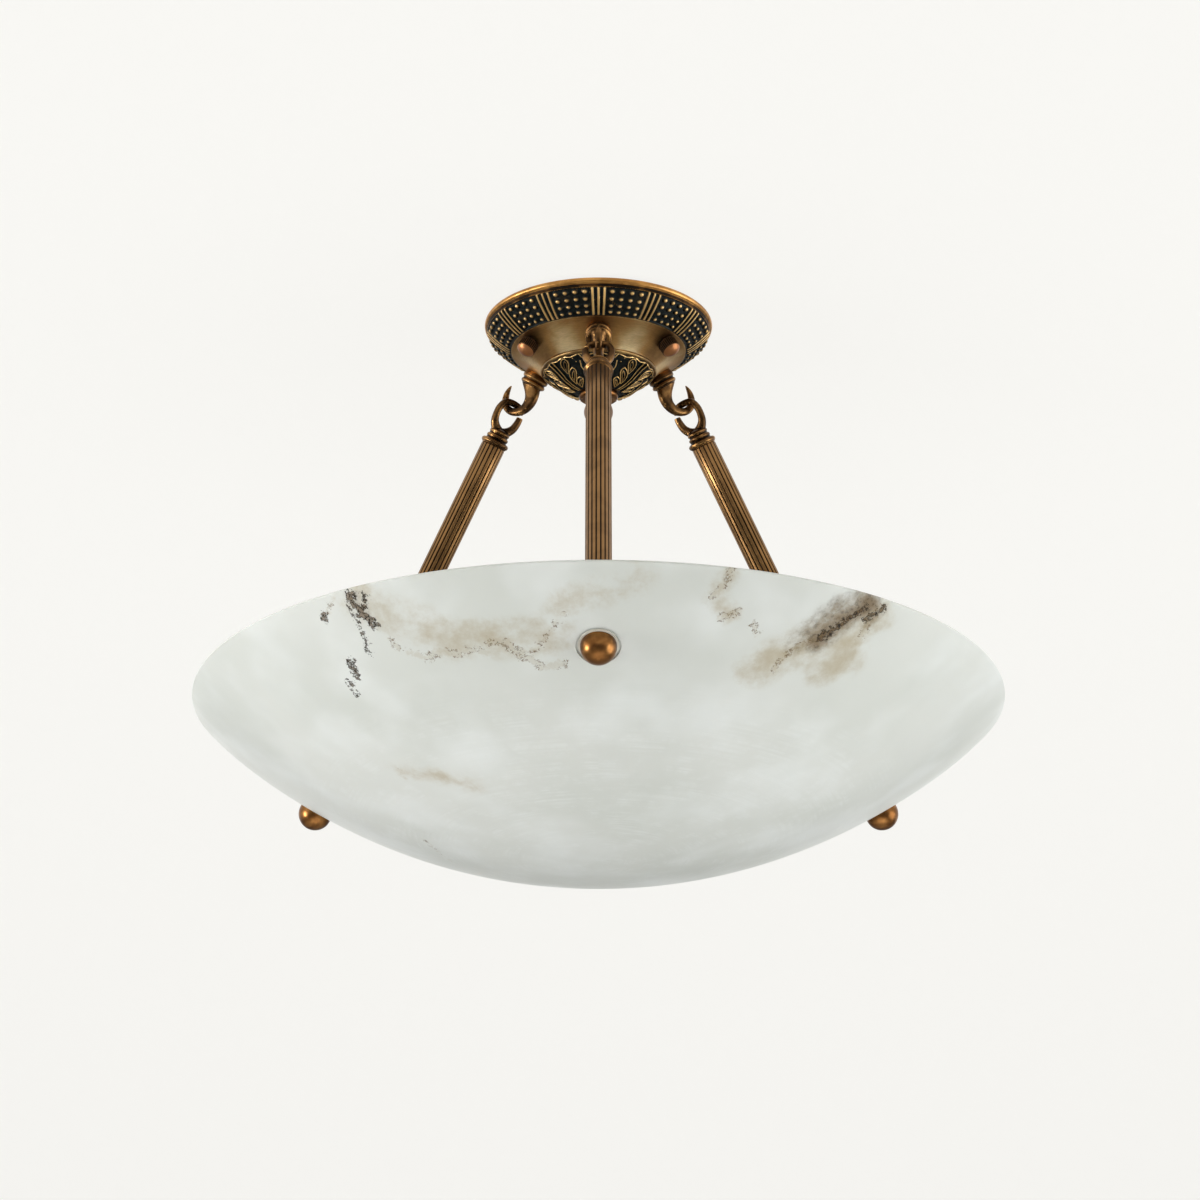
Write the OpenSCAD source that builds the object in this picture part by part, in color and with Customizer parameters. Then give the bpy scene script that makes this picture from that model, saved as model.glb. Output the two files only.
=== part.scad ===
// Alabaster bowl ceiling light, hung on three reeded brass rods from an ornamented canopy.
// The origin is the centre of the ceiling plane, +Z is up, and the light hangs towards -Z.
// Azimuth 0 is the front, along -Y, and grows towards +X.

/* [Bowl] */
// Outside diameter of the bowl
bowl_d = 500; // [420:5:560]
// Drop from the ceiling to the top of the bowl's rim
bowl_drop = 258.5; // [240:0.5:320]
// Height of the bowl over all
bowl_h = 102; // [85:1:130]
// Thickness of the stone
wall = 12; // [10:0.5:16]
// Power of the curve from the flat bottom to the rim
belly = 2.19; // [1.9:0.01:2.6]
// Extra upward turn close to the rim
flare = 2.9; // [0:0.1:5]
// Rounding of the rim's edges
rim_round = 1.5; // [0.5:0.1:3]
// Clearance hole for each rod's stud
bowl_hole_d = 10; // [9.5:0.1:12]
// Depth of the flat spot ground at each hole
spot_depth = 1.5; // [1.3:0.1:2.2]
// Diameter of the flat spot
spot_d = 26; // [25:0.5:32]

/* [Canopy dish] */
// Outside diameter of the dish at its rim bead
canopy_d = 147; // [140:1:160]
// Thickness of the cast wall
dish_t = 2; // [1.6:0.1:2.6]
// Height of the rim bead
rim_bead_h = 5.2; // [4:0.1:6]
// Bulge of the rim bead
rim_bulge = 0.7; // [0.4:0.1:1]
// Diameter where the ornament field meets the plain band
band_d = 111; // [108:1:116]
// Depth of that edge below the ceiling
band_z = 20.5; // [19:0.5:22]
// Diameter of the seam between dish and cup
seam_d = 74; // [72:1:76]
// Depth of the seam below the ceiling
seam_z = 34.2; // [33:0.1:36]
// Turn of the ornament field, outwards
field_turn = 20; // [10:1:28]
// Turn of the plain band, inwards
band_turn = 25; // [15:1:30]
// Panels round the ornament field
panels = 12; // [9:1:16]
// Angle between the three ribs that part two panels
rib_step = 3.16; // [2.6:0.02:3.4]
// Angle that one rib takes
rib_angle = 1.5; // [1:0.1:1.9]
// Height of the ribs
rib_h = 0.8; // [0.5:0.1:1.2]

/* [Canopy cup] */
// Depth of the cup's bottom below the ceiling
cup_z = 50; // [48:0.5:54]
// Diameter of the cup's flat bottom
cup_bottom_d = 26.4; // [24:0.2:30]
// Diameter of the ring under the cup
ring_d = 24.8; // [22:0.2:28]
// Height of the ring under the cup
ring_h = 4; // [3:0.5:6]
// Diameter of the finial ball
ball_d = 18.4; // [16:0.2:22]
// Height of the finial ball
ball_h = 15.2; // [13:0.2:17]
// Diameter of the bead under the ball
bead_d = 13.6; // [12:0.2:16]
// Height of the bead
bead_h = 7; // [5:0.5:9]
// Carved panels round the cup, parted by pairs of ribs
cup_panels = 6; // [4:1:8]
// Angle between the ribs of a pair
cup_rib_step = 6.4; // [5:0.2:9]
// Angle that one of them takes
cup_rib_angle = 2.4; // [1.6:0.2:3.2]
// Height of the cup's ribs
cup_rib_h = 0.7; // [0.4:0.1:1]

/* [Hooks and screws] */
// Radius where the hooks leave the plain band
hook_seat_r = 46; // [44:0.5:48]
// Tilt of a hook's shank from the vertical
hook_tilt = 33; // [28:1:38]
// Diameter of a hook's collar
collar_d = 17; // [15:0.5:19]
// Diameter of a hook's shank through the dish
shank_d = 6; // [5:0.5:8]
// Radius where the cap screws meet the plain band
screw_seat_r = 50; // [48:0.5:51]
// Diameter of a cap screw's knurled head
screw_head_d = 12; // [10:0.5:13]
// Length of the knurled part
screw_head_h = 6.5; // [5:0.5:9]
// Diameter of a cap screw's thread
screw_d = 4; // [3:0.5:5]
// Teeth of the knurl
knurl_teeth = 30; // [20:1:40]

/* [Rods] */
// Radius of the point where a rod's eye bears on its hook
bear_r = 64; // [62:0.5:66]
// Depth of that point below the ceiling
bear_z = 45.5; // [44:0.5:47]
// Distance in from the bowl's edge to where a rod's axis leaves the stone
knob_inset = 42; // [36:1:58]
// Diameter over the reeds
rod_d = 15.8; // [14:0.1:18]
// Number of reeds round a rod
reeds = 18; // [12:1:24]
// Distance from the bearing point to the top of the reeded tube
rod_top = 28; // [27:0.5:32]
// Diameter of the studs and of the eye's shank
stud_d = 8; // [7:0.5:8.5]
// Diameter of the flange at the top of a rod
flange_d = 18.3; // [17:0.1:20]
// Diameter of the wire of the eye
eye_wire_d = 4.8; // [4.2:0.1:5]
// Half the width of the eye, between wire centres
eye_half_w = 8; // [7.8:0.1:8.6]
// Turn of the side eyes about their rods
eye_turn = 30; // [20:1:33]

/* [Rod ends at the bowl] */
// Diameter of a dome nut
dome_d = 21; // [19:0.5:23]
// Straight height under the dome
dome_base_h = 1.5; // [1:0.5:3]
// Diameter of the washers
washer_d = 23.5; // [22:0.5:24.5]
// Thickness of the brass washer inside the bowl
inner_washer_h = 1.5; // [1:0.5:2.5]
// Thickness of the pale washer outside the bowl
outer_washer_h = 1; // [0.8:0.1:1.5]

/* [Lamp cluster] */
// Depth of the bulbs' axes below the ceiling
lamp_z = 282; // [276:1:290]
// Diameter of the centre stem
stem_d = 9; // [8:0.5:10]
// Diameter of the cluster body
hub_d = 42; // [38:1:48]
// Height of the cluster body
hub_h = 28; // [24:1:32]
// Diameter of the lamp arms
arm_d = 10; // [9:0.5:11]
// Length of an arm that shows between body and lampholder
arm_show = 12; // [8:1:20]
// Outside diameter of a lampholder
holder_d = 38; // [34:1:42]
// Length of a lampholder
holder_l = 40; // [36:1:44]
// Diameter of a bulb's screw cap
bulb_cap_d = 26; // [26:0.1:26.4]
// Diameter of a bulb's glass
bulb_d = 60; // [50:1:60]
// Length of a bulb's glass beyond its cap
glass_l = 78; // [70:1:80]

/* [Ceiling plate] */
// Diameter of the ceiling plate
plate_d = 96; // [90:1:100]
// Thickness of the plate and its arms
plate_t = 2.5; // [2:0.1:3]
// Width of an arm
plate_arm_w = 13; // [12:0.5:16]
// Distance between the two screw slots' centres
slot_spacing = 70; // [60:1:74]
// Length of a slot, end to end
slot_l = 14; // [10:1:16]
// Width of a slot
slot_w = 5; // [4:0.1:6]
// Diameter of the two wire holes
wire_hole_d = 12; // [8:1:14]
// Diameter of the earth screw
earth_d = 4; // [3:0.5:5]
// Outside diameter of the threaded nipple
nipple_d = 10; // [9:0.5:10]

/* [Hidden] */

// Places round the light
front = 0;
right = 120;
left = -120;
hook_places = [front, right, left];
screw_places = [60, 180, -60];
lamp_right = 60;
lamp_left = -60;
lamp_back = 180;

// Clearances
slip = 0.05;
nut_gap = 0.3;
bear_gap = 0.25;
thread_gap = 0.1;
through_gap = 0.4;
eps = 0.01;

// Colours as the object shows them
brass = "#9c7440";
dark_brass = "#5d4a2c";
bright_brass = "#c08f4c";
bronze = "#80613c";
stone = "#dfe1da";
pale = "#e8e4d8";
steel = "#b4b6b8";
white = "#f2f0ea";

// Points on an arc from p to q that turns by turn degrees, moved off to its right and trimmed by a share at each end
function arc_centre(p, q, turn) =
    let (chord = q - p, r = norm(chord) / (2 * sin(turn / 2)), a = atan2(chord.y, chord.x) - turn / 2)
    p + r * [-sin(a), cos(a)];
function arc_radius(p, q, turn) = norm(q - p) / (2 * sin(turn / 2));
function arc_start(p, q, turn) = atan2(q.y - p.y, q.x - p.x) - turn / 2;
function arc_points(p, q, turn, off = 0, steps = 8, trim = 0) =
    let (c = arc_centre(p, q, turn), r = arc_radius(p, q, turn) + off,
        a = arc_start(p, q, turn) + turn * trim, step = turn * (1 - 2 * trim) / steps)
    [for (k = [0:steps]) c + r * [sin(a + step * k), -cos(a + step * k)]];

function reversed(list) = [for (k = [len(list) - 1:-1:0]) list[k]];

// A smooth line through the stations, with steps points from each to the next
function smooth_at(a, b, c, d, u) =
    0.5 * (2 * b + (c - a) * u + (2 * a - 5 * b + 4 * c - d) * u * u + (3 * b - a - 3 * c + d) * u * u * u);
function smooth(list, steps) =
    let (n = len(list) - 1)
    concat([for (k = [0:n - 1], j = [0:steps - 1])
        smooth_at(list[max(k - 1, 0)], list[k], list[k + 1], list[min(k + 2, n)], j / steps)], [list[n]]);

// Places a piece in the vertical plane of an azimuth
module at_azimuth(azimuth) { rotate([0, 0, azimuth]) children(); }

// Stands a piece on a point of the front plane, with its +Z pointing down and outwards by tilt
module on_tilt(r, depth, tilt) { translate([0, -r, -depth]) rotate([180 - tilt, 0, 0]) children(); }

// A tapering bar along a line in the XY plane; each station is [x, y, half width, half thickness]
module tapered_bar(stations, sides = 12, steps = 3) {
    line = smooth(stations, steps);
    last = len(line) - 1;
    function heading(k) =
        let (d = line[min(k + 1, last)] - line[max(k - 1, 0)]) atan2(d.y, d.x);
    points = [for (k = [0:last], j = [0:sides - 1])
        let (a = heading(k), u = line[k][2] * cos(360 * j / sides), v = line[k][3] * sin(360 * j / sides))
        [line[k].x - u * sin(a), line[k].y + u * cos(a), v]];
    rings = [for (k = [0:last - 1], j = [0:sides - 1])
        let (a = k * sides + j, b = k * sides + (j + 1) % sides)
        each [[a, b + sides, b], [a, a + sides, b + sides]]];
    first_cap = [for (j = [1:sides - 2]) [0, j, j + 1]];
    last_cap = [for (j = [1:sides - 2]) [last * sides, last * sides + j + 1, last * sides + j]];
    polyhedron(points, concat(rings, first_cap, last_cap), convexity = 6);
}

// The bowl's outer curve and its slope, by radius
bowl_r = bowl_d / 2;
bowl_rise = bowl_h - rim_round;
function bowl_z(r) = -bowl_drop - bowl_h
    + (bowl_rise - flare) * pow(r / bowl_r, belly) + flare * pow(r / bowl_r, 21);
function bowl_slope(r) = atan((bowl_rise - flare) * belly / bowl_r * pow(r / bowl_r, belly - 1)
    + flare * 21 / bowl_r * pow(r / bowl_r, 20));
function bowl_inside(r) = [r - wall * sin(bowl_slope(r)), bowl_z(r) + wall * cos(bowl_slope(r))];
bowl_steps = 30;
cutter_l = 1.6 * wall;
function bowl_radius_at(k) = bowl_r * sin(90 * k / bowl_steps);

// Rods: they run straight from the bearing point to where they leave the bowl
knob_r = bowl_r - knob_inset;
rod_run = knob_r - bear_r;
rod_fall = -bowl_z(knob_r) - bear_z;
rod_tilt = atan(rod_run / rod_fall);
rod_reach = norm([rod_run, rod_fall]);
rod_slant = bowl_slope(knob_r) - rod_tilt;
spot_out = rod_reach - spot_depth;
spot_in = rod_reach - wall / cos(rod_slant) + spot_depth;
inner_washer_t = spot_in - nut_gap - inner_washer_h;
outer_washer_t = spot_out + nut_gap;
dome_t = outer_washer_t + outer_washer_h;
dome_bore = dome_base_h + dome_d / 2 - 4;
stud_in_rod = 30;
eye_shank = 20;
reed_core_r = rod_d / 2 - 0.75;
reed_r = reed_core_r * tan(180 / reeds) * 1.04;
reed_ring_r = rod_d / 2 - reed_r;

module on_rod(azimuth) {
    at_azimuth(azimuth) on_tilt(bear_r, bear_z, rod_tilt) children();
}

// Dish: an ornament field that swells, then a plain band that is hollowed
rim_r = canopy_d / 2;
bead_top = [rim_r - rim_bulge, 0];
bead_low = [rim_r - rim_bulge - 0.5, -rim_bead_h];
bead_turn = -4 * atan(2 * rim_bulge / rim_bead_h);
field_out = [rim_r - 2.7, -rim_bead_h - 2.6];
field_in = [band_d / 2 + 0.6, -band_z];
band_out = [band_d / 2, -band_z - 0.3];
band_in = [seam_d / 2, -seam_z];
band_centre = arc_centre(band_out, band_in, band_turn);
band_radius = arc_radius(band_out, band_in, band_turn);
function band_tilt(r) = -asin((r - band_centre.x) / band_radius);
function band_depth(r) = -band_centre.y - band_radius * cos(band_tilt(r));
dish_skin = concat(arc_points(bead_top, bead_low, bead_turn, 0, 6), [[rim_r - 2.2, field_out.y + 0.5]],
    arc_points(field_out, field_in, -field_turn), arc_points(band_out, band_in, band_turn));
seam_land = 7;
boss_h = 2.5;
boss_d = 15;
screw_tilt = band_tilt(screw_seat_r);
screw_depth = band_depth(screw_seat_r);
hook_depth = band_depth(hook_seat_r);
tab_h = dish_t + boss_h;

// Hooks, their washers and nuts
bear_drop = bear_z + bear_gap;
collar_h = 6.4;
hook_washer_h = 1;
hook_nut_h = 5;
nut_stack = hook_washer_h + hook_nut_h + 1.5;

// Ceiling plate: level disc, legs straight down, and tabs that lie along the dish
leg_r = screw_seat_r + 5;
tab_centre = [screw_seat_r, -screw_depth] - (tab_h + plate_t / 2) * [sin(screw_tilt), -cos(screw_tilt)];
tab_half = 7;
tab_along = [cos(screw_tilt), sin(screw_tilt)];
tab_out = tab_centre + (leg_r - tab_centre.x) / tab_along.x * tab_along;
tab_in = tab_centre - tab_half * tab_along;
plate_mid = -plate_t / 2;
locknut_h = 4;
wire_hole_at = [16, 22];
earth_at = [-24, 27];
block = [27, 12, 10];
block_front = -34;
block_bore = 3.6;

// Cup: a hollowed bell that swells again over its flat bottom
cup_lip_r = seam_d / 2 - 0.5;
cup_lip_h = 2.2;
cup_bell_top = [cup_lip_r - 1.2, -seam_z - cup_lip_h];
cup_waist = [24.5, -seam_z - 0.66 * (cup_z - seam_z)];
cup_foot = [cup_bottom_d / 2, -cup_z];
cup_wall = 2;
cup_turn_in = 14;
cup_turn_out = -26;

// Finial under the cup
ring_top = -cup_z;
ball_top = ring_top - ring_h;
ball_neck_h = 1;
ball_centre = ball_top - ball_neck_h - ball_h / 2;
bead_top_z = ball_centre - ball_h / 2;
bead_centre = bead_top_z - bead_h / 2;
stem_top = bead_centre - 1;

// Lamp cluster
hub_top = -lamp_z + hub_h / 2;
hub_wall = 4;
hub_neck_h = 8;
arm_in = hub_d / 2 - 7;
holder_start = hub_d / 2 + arm_show;
holder_back = 4;
cap_l = 25;
holder_mouth = holder_start + holder_l;
cap_start = holder_mouth - cap_l;
cap_in_glass = 6;

module on_lamp(azimuth) { at_azimuth(azimuth) translate([0, 0, -lamp_z]) rotate([90, 0, 0]) children(); }

// Tube, or a solid bar where the bore is zero, from one height to another
module tube(d, bore, from, to) {
    translate([0, 0, from]) difference() {
        cylinder(d = d, h = to - from, $fn = 64);
        if (bore > 0) translate([0, 0, -1]) cylinder(d = bore, h = to - from + 2, $fn = 64);
    }
}

// Six-sided nut by its width over flats
module hex_nut(across, h, bore) {
    difference() {
        cylinder(d = across / cos(30), h = h, $fn = 6);
        translate([0, 0, -1]) cylinder(d = bore, h = h + 2, $fn = 64);
    }
}

// Ceiling plate with two screw slots, two wire holes, a centre thread and three bent arms
module ceiling_plate() {
    color(steel) difference() {
        union() {
            translate([0, 0, -plate_t]) cylinder(d = plate_d, h = plate_t, $fn = 96);
            for (a = screw_places) at_azimuth(a) plate_arm();
        }
        for (side = [-1, 1]) {
            translate([side * slot_spacing / 2, 0, -plate_t - 1]) slot(slot_l, slot_w, plate_t + 2);
            translate([side * wire_hole_at.x, wire_hole_at.y, -plate_t - 1]) cylinder(d = wire_hole_d, h = plate_t + 2, $fn = 48);
        }
        translate([0, 0, -plate_t - 1]) cylinder(d = nipple_d + slip, h = plate_t + 2, $fn = 64);
        translate([earth_at.x, earth_at.y, -plate_t - 1]) cylinder(d = earth_d, h = plate_t + 2, $fn = 32);
        for (a = screw_places) at_azimuth(a) on_tilt(screw_seat_r, screw_depth, screw_tilt)
            translate([0, 0, -tab_h - plate_t - 1]) cylinder(d = screw_d + slip, h = plate_t + 2, $fn = 32);
    }
}

// One arm, bent from strip: along the ceiling, straight down, then along the dish
module plate_arm() {
    line = [[plate_d / 2 - 6, plate_mid], [leg_r, plate_mid], tab_out, tab_in];
    rotate([90, 0, -90]) translate([0, 0, -plate_arm_w / 2])
        linear_extrude(plate_arm_w) polygon(strip_outline(line, plate_t / 2));
}

// Outline of a strip along a line, with mitred corners
function unit(v) = v / norm(v);
function left_of(v) = [-v.y, v.x];
function mitre(line, k) =
    let (n = len(line) - 1, a = unit(line[max(k, 1)] - line[max(k, 1) - 1]),
        b = unit(line[min(k, n - 1) + 1] - line[min(k, n - 1)]), m = unit(left_of(a) + left_of(b)))
    m / (m * left_of(a));
function strip_outline(line, half) = concat(
    [for (k = [0:len(line) - 1]) line[k] + half * mitre(line, k)],
    [for (k = [len(line) - 1:-1:0]) line[k] - half * mitre(line, k)]);

module slot(length, width, h) {
    translate([-(length - width) / 2, 0, 0]) cylinder(d = width, h = h, $fn = 48);
    translate([(length - width) / 2, 0, 0]) cylinder(d = width, h = h, $fn = 48);
    translate([-(length - width) / 2, -width / 2, 0]) cube([length - width, width, h]);
}

module plate_locknut() {
    color(steel) translate([0, 0, -plate_t - locknut_h]) hex_nut(15, locknut_h, nipple_d + slip);
}

// Threaded nipple that carries the cup, the finial and the stem
module centre_nipple() { color(steel) tube(nipple_d, nipple_d - 3, bead_centre, -0.5); }

// Three-way terminal block screwed to the underside of the plate
module terminal_block() {
    color(white) translate([-block.x / 2, block_front, -plate_t - block.z]) difference() {
        cube(block);
        for (k = [0.5:1:2.5]) {
            translate([block.x * k / 3, -1, block.z / 2]) rotate([-90, 0, 0])
                cylinder(d = block_bore, h = block.y + 2, $fn = 32);
        }
    }
}

// Earth screw: a washer head under the plate and a thread that stops inside it and hangs below
module earth_screw() {
    head_h = 2.4;
    tail = 6;
    color(brass) translate([earth_at.x, earth_at.y, -plate_t]) {
        translate([0, 0, -head_h]) cylinder(d = earth_d + 3.5, h = head_h, $fn = 32);
        translate([0, 0, -tail]) cylinder(d = earth_d - slip, h = tail + plate_t - 0.3, $fn = 32);
    }
}

// Outline of the dish wall: the skin, the seam land and the inner face
module dish_profile() {
    inner_field = arc_points(field_out, field_in, -field_turn, dish_t);
    inner_band = arc_points(band_out, band_in, band_turn, dish_t);
    polygon(concat(dish_skin, [[seam_d / 2 - seam_land, -seam_z], [seam_d / 2 - seam_land, -seam_z + dish_t]],
        reversed([for (p = inner_band) if (p.y > -seam_z + dish_t) p]), reversed(inner_field),
        [[bead_low.x - dish_t, -rim_bead_h + 1], [bead_top.x - dish_t, 0]]));
}

// The body under the dish's skin, which trims what seats on the dish
module inside_skin() {
    rotate_extrude($fn = 180) polygon(concat([[0, 0]], dish_skin, [[0, -seam_z]]));
}

// A raised rib that runs down an outline, at an azimuth
module rib(azimuth, angle) {
    rotate([0, 0, azimuth - 90 - angle / 2]) rotate_extrude(angle = angle, $fn = 180) children();
}

// Three ribs between each two panels of the ornament field, rooted in the wall
module dish_ribs() {
    steps = 7;
    trim = 0.03;
    for (k = [0:panels - 1], j = [-1:1]) rib(360 * k / panels + j * rib_step, rib_angle)
        polygon(concat(arc_points(field_out, field_in, -field_turn, -rib_h, steps, trim),
            reversed(arc_points(field_out, field_in, -field_turn, dish_t / 2, steps, trim))));
}

// Spun and cast dish with bosses inside for the hooks and the cap screws
module canopy_dish() {
    color(brass) difference() {
        union() {
            rotate_extrude($fn = 180) dish_profile();
            dish_ribs();
            intersection() {
                inside_skin();
                union() {
                    for (a = hook_places) at_azimuth(a) on_tilt(hook_seat_r, hook_depth, hook_tilt)
                        translate([0, 0, -tab_h]) cylinder(d = boss_d, h = tab_h, $fn = 64);
                    for (a = screw_places) at_azimuth(a) on_tilt(screw_seat_r, screw_depth, screw_tilt)
                        translate([0, 0, -tab_h]) cylinder(d = boss_d - 2, h = tab_h, $fn = 64);
                }
            }
        }
        for (a = hook_places) at_azimuth(a) on_tilt(hook_seat_r, hook_depth, hook_tilt)
            translate([0, 0, -10]) cylinder(d = shank_d + through_gap, h = 20, $fn = 48);
        for (a = screw_places) at_azimuth(a) on_tilt(screw_seat_r, screw_depth, screw_tilt)
            translate([0, 0, -10]) cylinder(d = screw_d + through_gap, h = 20, $fn = 48);
    }
}

// Pairs of ribs that part the cup's carved panels, rooted in the wall
module cup_ribs() {
    root = cup_wall / 2;
    for (k = [0:cup_panels - 1], side = [-1, 1])
        rib(360 * k / cup_panels + side * cup_rib_step / 2, cup_rib_angle) {
            polygon(concat(arc_points(cup_bell_top, cup_waist, cup_turn_in, -cup_rib_h),
                arc_points(cup_waist, cup_foot, cup_turn_out, -cup_rib_h),
                reversed(arc_points(cup_waist, cup_foot, cup_turn_out, root)),
                reversed(arc_points(cup_bell_top, cup_waist, cup_turn_in, root))));
        }
}

// Bell-shaped cup under the dish, with a lip and a flat bottom for the nipple
module canopy_cup() {
    bell = arc_points(cup_bell_top, cup_waist, cup_turn_in);
    swell = arc_points(cup_waist, cup_foot, cup_turn_out);
    bell_in = arc_points(cup_bell_top, cup_waist, cup_turn_in, cup_wall);
    swell_in = arc_points(cup_waist, cup_foot, cup_turn_out, cup_wall);
    lip = [[cup_lip_r, -seam_z], [cup_lip_r + 0.4, -seam_z - 0.8], [cup_lip_r - 0.2, -seam_z - 1.8]];
    floor_z = -cup_z + cup_wall;
    color(dark_brass) difference() {
        union() {
            rotate_extrude($fn = 180) polygon(concat(lip, bell, swell, [[0, -cup_z], [0, floor_z]],
                reversed([for (p = swell_in) if (p.y > floor_z) p]), reversed(bell_in),
                [[cup_lip_r - 5.5, -seam_z]]));
            cup_ribs();
        }
        translate([0, 0, -cup_z - 1]) cylinder(d = nipple_d + 2 * slip, h = cup_wall + 2, $fn = 64);
    }
}

// Ring with a rounded edge, on the nipple
module round_ring(d, h, bore) {
    rotate_extrude($fn = 96) difference() {
        union() {
            translate([d / 2 - h / 2, 0]) circle(d = h, $fn = 48);
            translate([0, -h / 2]) square([d / 2 - h / 2, h]);
        }
        translate([-1, -h]) square([bore / 2 + 1, 2 * h]);
        translate([-d, -h]) square([d, 2 * h]);
    }
}

module cup_ring() {
    color(bright_brass) translate([0, 0, ring_top - ring_h / 2]) round_ring(ring_d, ring_h, nipple_d + 2 * slip);
}

// Ball cut flat above and below, with a short neck
module finial_ball() {
    color(bright_brass) difference() {
        union() {
            intersection() {
                translate([0, 0, ball_centre]) sphere(d = ball_d, $fn = 96);
                translate([0, 0, ball_centre - ball_h / 2]) cylinder(d = ball_d + 2, h = ball_h, $fn = 64);
            }
            translate([0, 0, ball_top - ball_neck_h]) cylinder(d = nipple_d + 2.6, h = ball_neck_h, $fn = 64);
        }
        translate([0, 0, ball_centre - ball_h]) cylinder(d = nipple_d + slip, h = 3 * ball_h, $fn = 64);
    }
}

module finial_bead() {
    color(bright_brass) difference() {
        translate([0, 0, bead_centre]) round_ring(bead_d, bead_h, 0.5);
        translate([0, 0, bead_centre]) cylinder(d = nipple_d + slip, h = bead_h, $fn = 64);
        translate([0, 0, bead_centre - bead_h]) cylinder(d = stem_d + slip, h = bead_h + 1, $fn = 64);
    }
}

// Cast hook: collar, flattened horn, round bottom and a claw that turns back, in real radius and depth
hook_line = [
    [bear_r - 14.5, -bear_drop + 15.2, 6.0, 5.2], [bear_r - 15.0, -bear_drop + 8.2, 5.0, 3.9],
    [bear_r - 14.2, -bear_drop + 3.2, 4.3, 3.4], [bear_r - 12.0, -bear_drop - 0.6, 3.6, 3.1],
    [bear_r - 8.4, -bear_drop - 3.2, 3.0, 2.8], [bear_r - 4.0, -bear_drop - 3.9, 2.6, 2.6],
    [bear_r + 0.9, -bear_drop - 2.4, 2.5, 2.4], [bear_r + 4.3, -bear_drop + 1.3, 2.4, 2.3],
    [bear_r + 5.1, -bear_drop + 5.8, 2.2, 2.2], [bear_r + 4.2, -bear_drop + 10.2, 1.7, 1.9],
    [bear_r + 2.1, -bear_drop + 13.8, 0.9, 1.2], [bear_r + 0.6, -bear_drop + 15.4, 0.3, 0.4]];

module hook(azimuth) {
    color(bronze) at_azimuth(azimuth) {
        difference() {
            union() {
                on_tilt(hook_seat_r, hook_depth, hook_tilt) {
                    rotate_extrude($fn = 64) polygon([[0, -4], [collar_d / 2 - 0.6, -4],
                        [collar_d / 2, 0.6], [collar_d / 2, 2], [collar_d / 2 - 1.1, 2.8],
                        [collar_d / 2 - 1.1, 3.6], [collar_d / 2 - 0.3, 4.2], [collar_d / 2 - 0.3, 5.4],
                        [collar_d / 2 - 1.6, collar_h], [0, collar_h]]);
                }
                rotate([90, 0, -90]) tapered_bar(hook_line, 14, 3);
            }
            inside_skin();
        }
        on_tilt(hook_seat_r, hook_depth, hook_tilt)
            translate([0, 0, -tab_h - nut_stack]) cylinder(d = shank_d, h = nut_stack + tab_h + 2, $fn = 48);
    }
}

module hook_washers() {
    color(steel) for (a = hook_places) at_azimuth(a) on_tilt(hook_seat_r, hook_depth, hook_tilt)
        tube(boss_d - 2, shank_d + through_gap, -tab_h - hook_washer_h, -tab_h);
}

module hook_nuts() {
    color(steel) for (a = hook_places) at_azimuth(a) on_tilt(hook_seat_r, hook_depth, hook_tilt)
        translate([0, 0, -tab_h - hook_washer_h - hook_nut_h]) hex_nut(10, hook_nut_h, shank_d + thread_gap);
}

// Cap screws: a knurled head with a bright dome, and a thread into the ceiling plate's tab
module cap_screws() {
    dome_h = 2.6;
    dome_r = (pow(screw_head_d / 2 - 0.4, 2) + dome_h * dome_h) / (2 * dome_h);
    tooth = 0.35;
    knurl = [for (k = [0:2 * knurl_teeth - 1])
        let (a = 180 * k / knurl_teeth, r = screw_head_d / 2 - (k % 2) * tooth) r * [cos(a), sin(a)]];
    color(dark_brass) for (a = screw_places) at_azimuth(a) {
        difference() {
            on_tilt(screw_seat_r, screw_depth, screw_tilt) {
                translate([0, 0, -2]) linear_extrude(screw_head_h + 2) polygon(knurl);
                intersection() {
                    translate([0, 0, screw_head_h + dome_h - dome_r]) sphere(r = dome_r, $fn = 96);
                    translate([0, 0, screw_head_h - eps]) cylinder(d = screw_head_d - 0.8, h = dome_h + 1, $fn = 64);
                }
            }
            inside_skin();
        }
        on_tilt(screw_seat_r, screw_depth, screw_tilt)
            translate([0, 0, -tab_h - plate_t - 1.5]) cylinder(d = screw_d, h = tab_h + plate_t + 3, $fn = 32);
    }
}

// Reeded tube: a core with a ring of round reeds, bored for the stud and the eye's shank
module rod(azimuth) {
    color(bronze) on_rod(azimuth) difference() {
        translate([0, 0, rod_top]) linear_extrude(inner_washer_t - rod_top) union() {
            circle(r = reed_core_r, $fn = 96);
            for (k = [0:reeds - 1]) rotate(360 * (k + 0.5) / reeds)
                translate([reed_ring_r, 0]) circle(r = reed_r, $fn = 24);
        }
        translate([0, 0, rod_top - 1]) cylinder(d = stud_d + 2 * slip, h = rod_reach, $fn = 64);
    }
}

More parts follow.
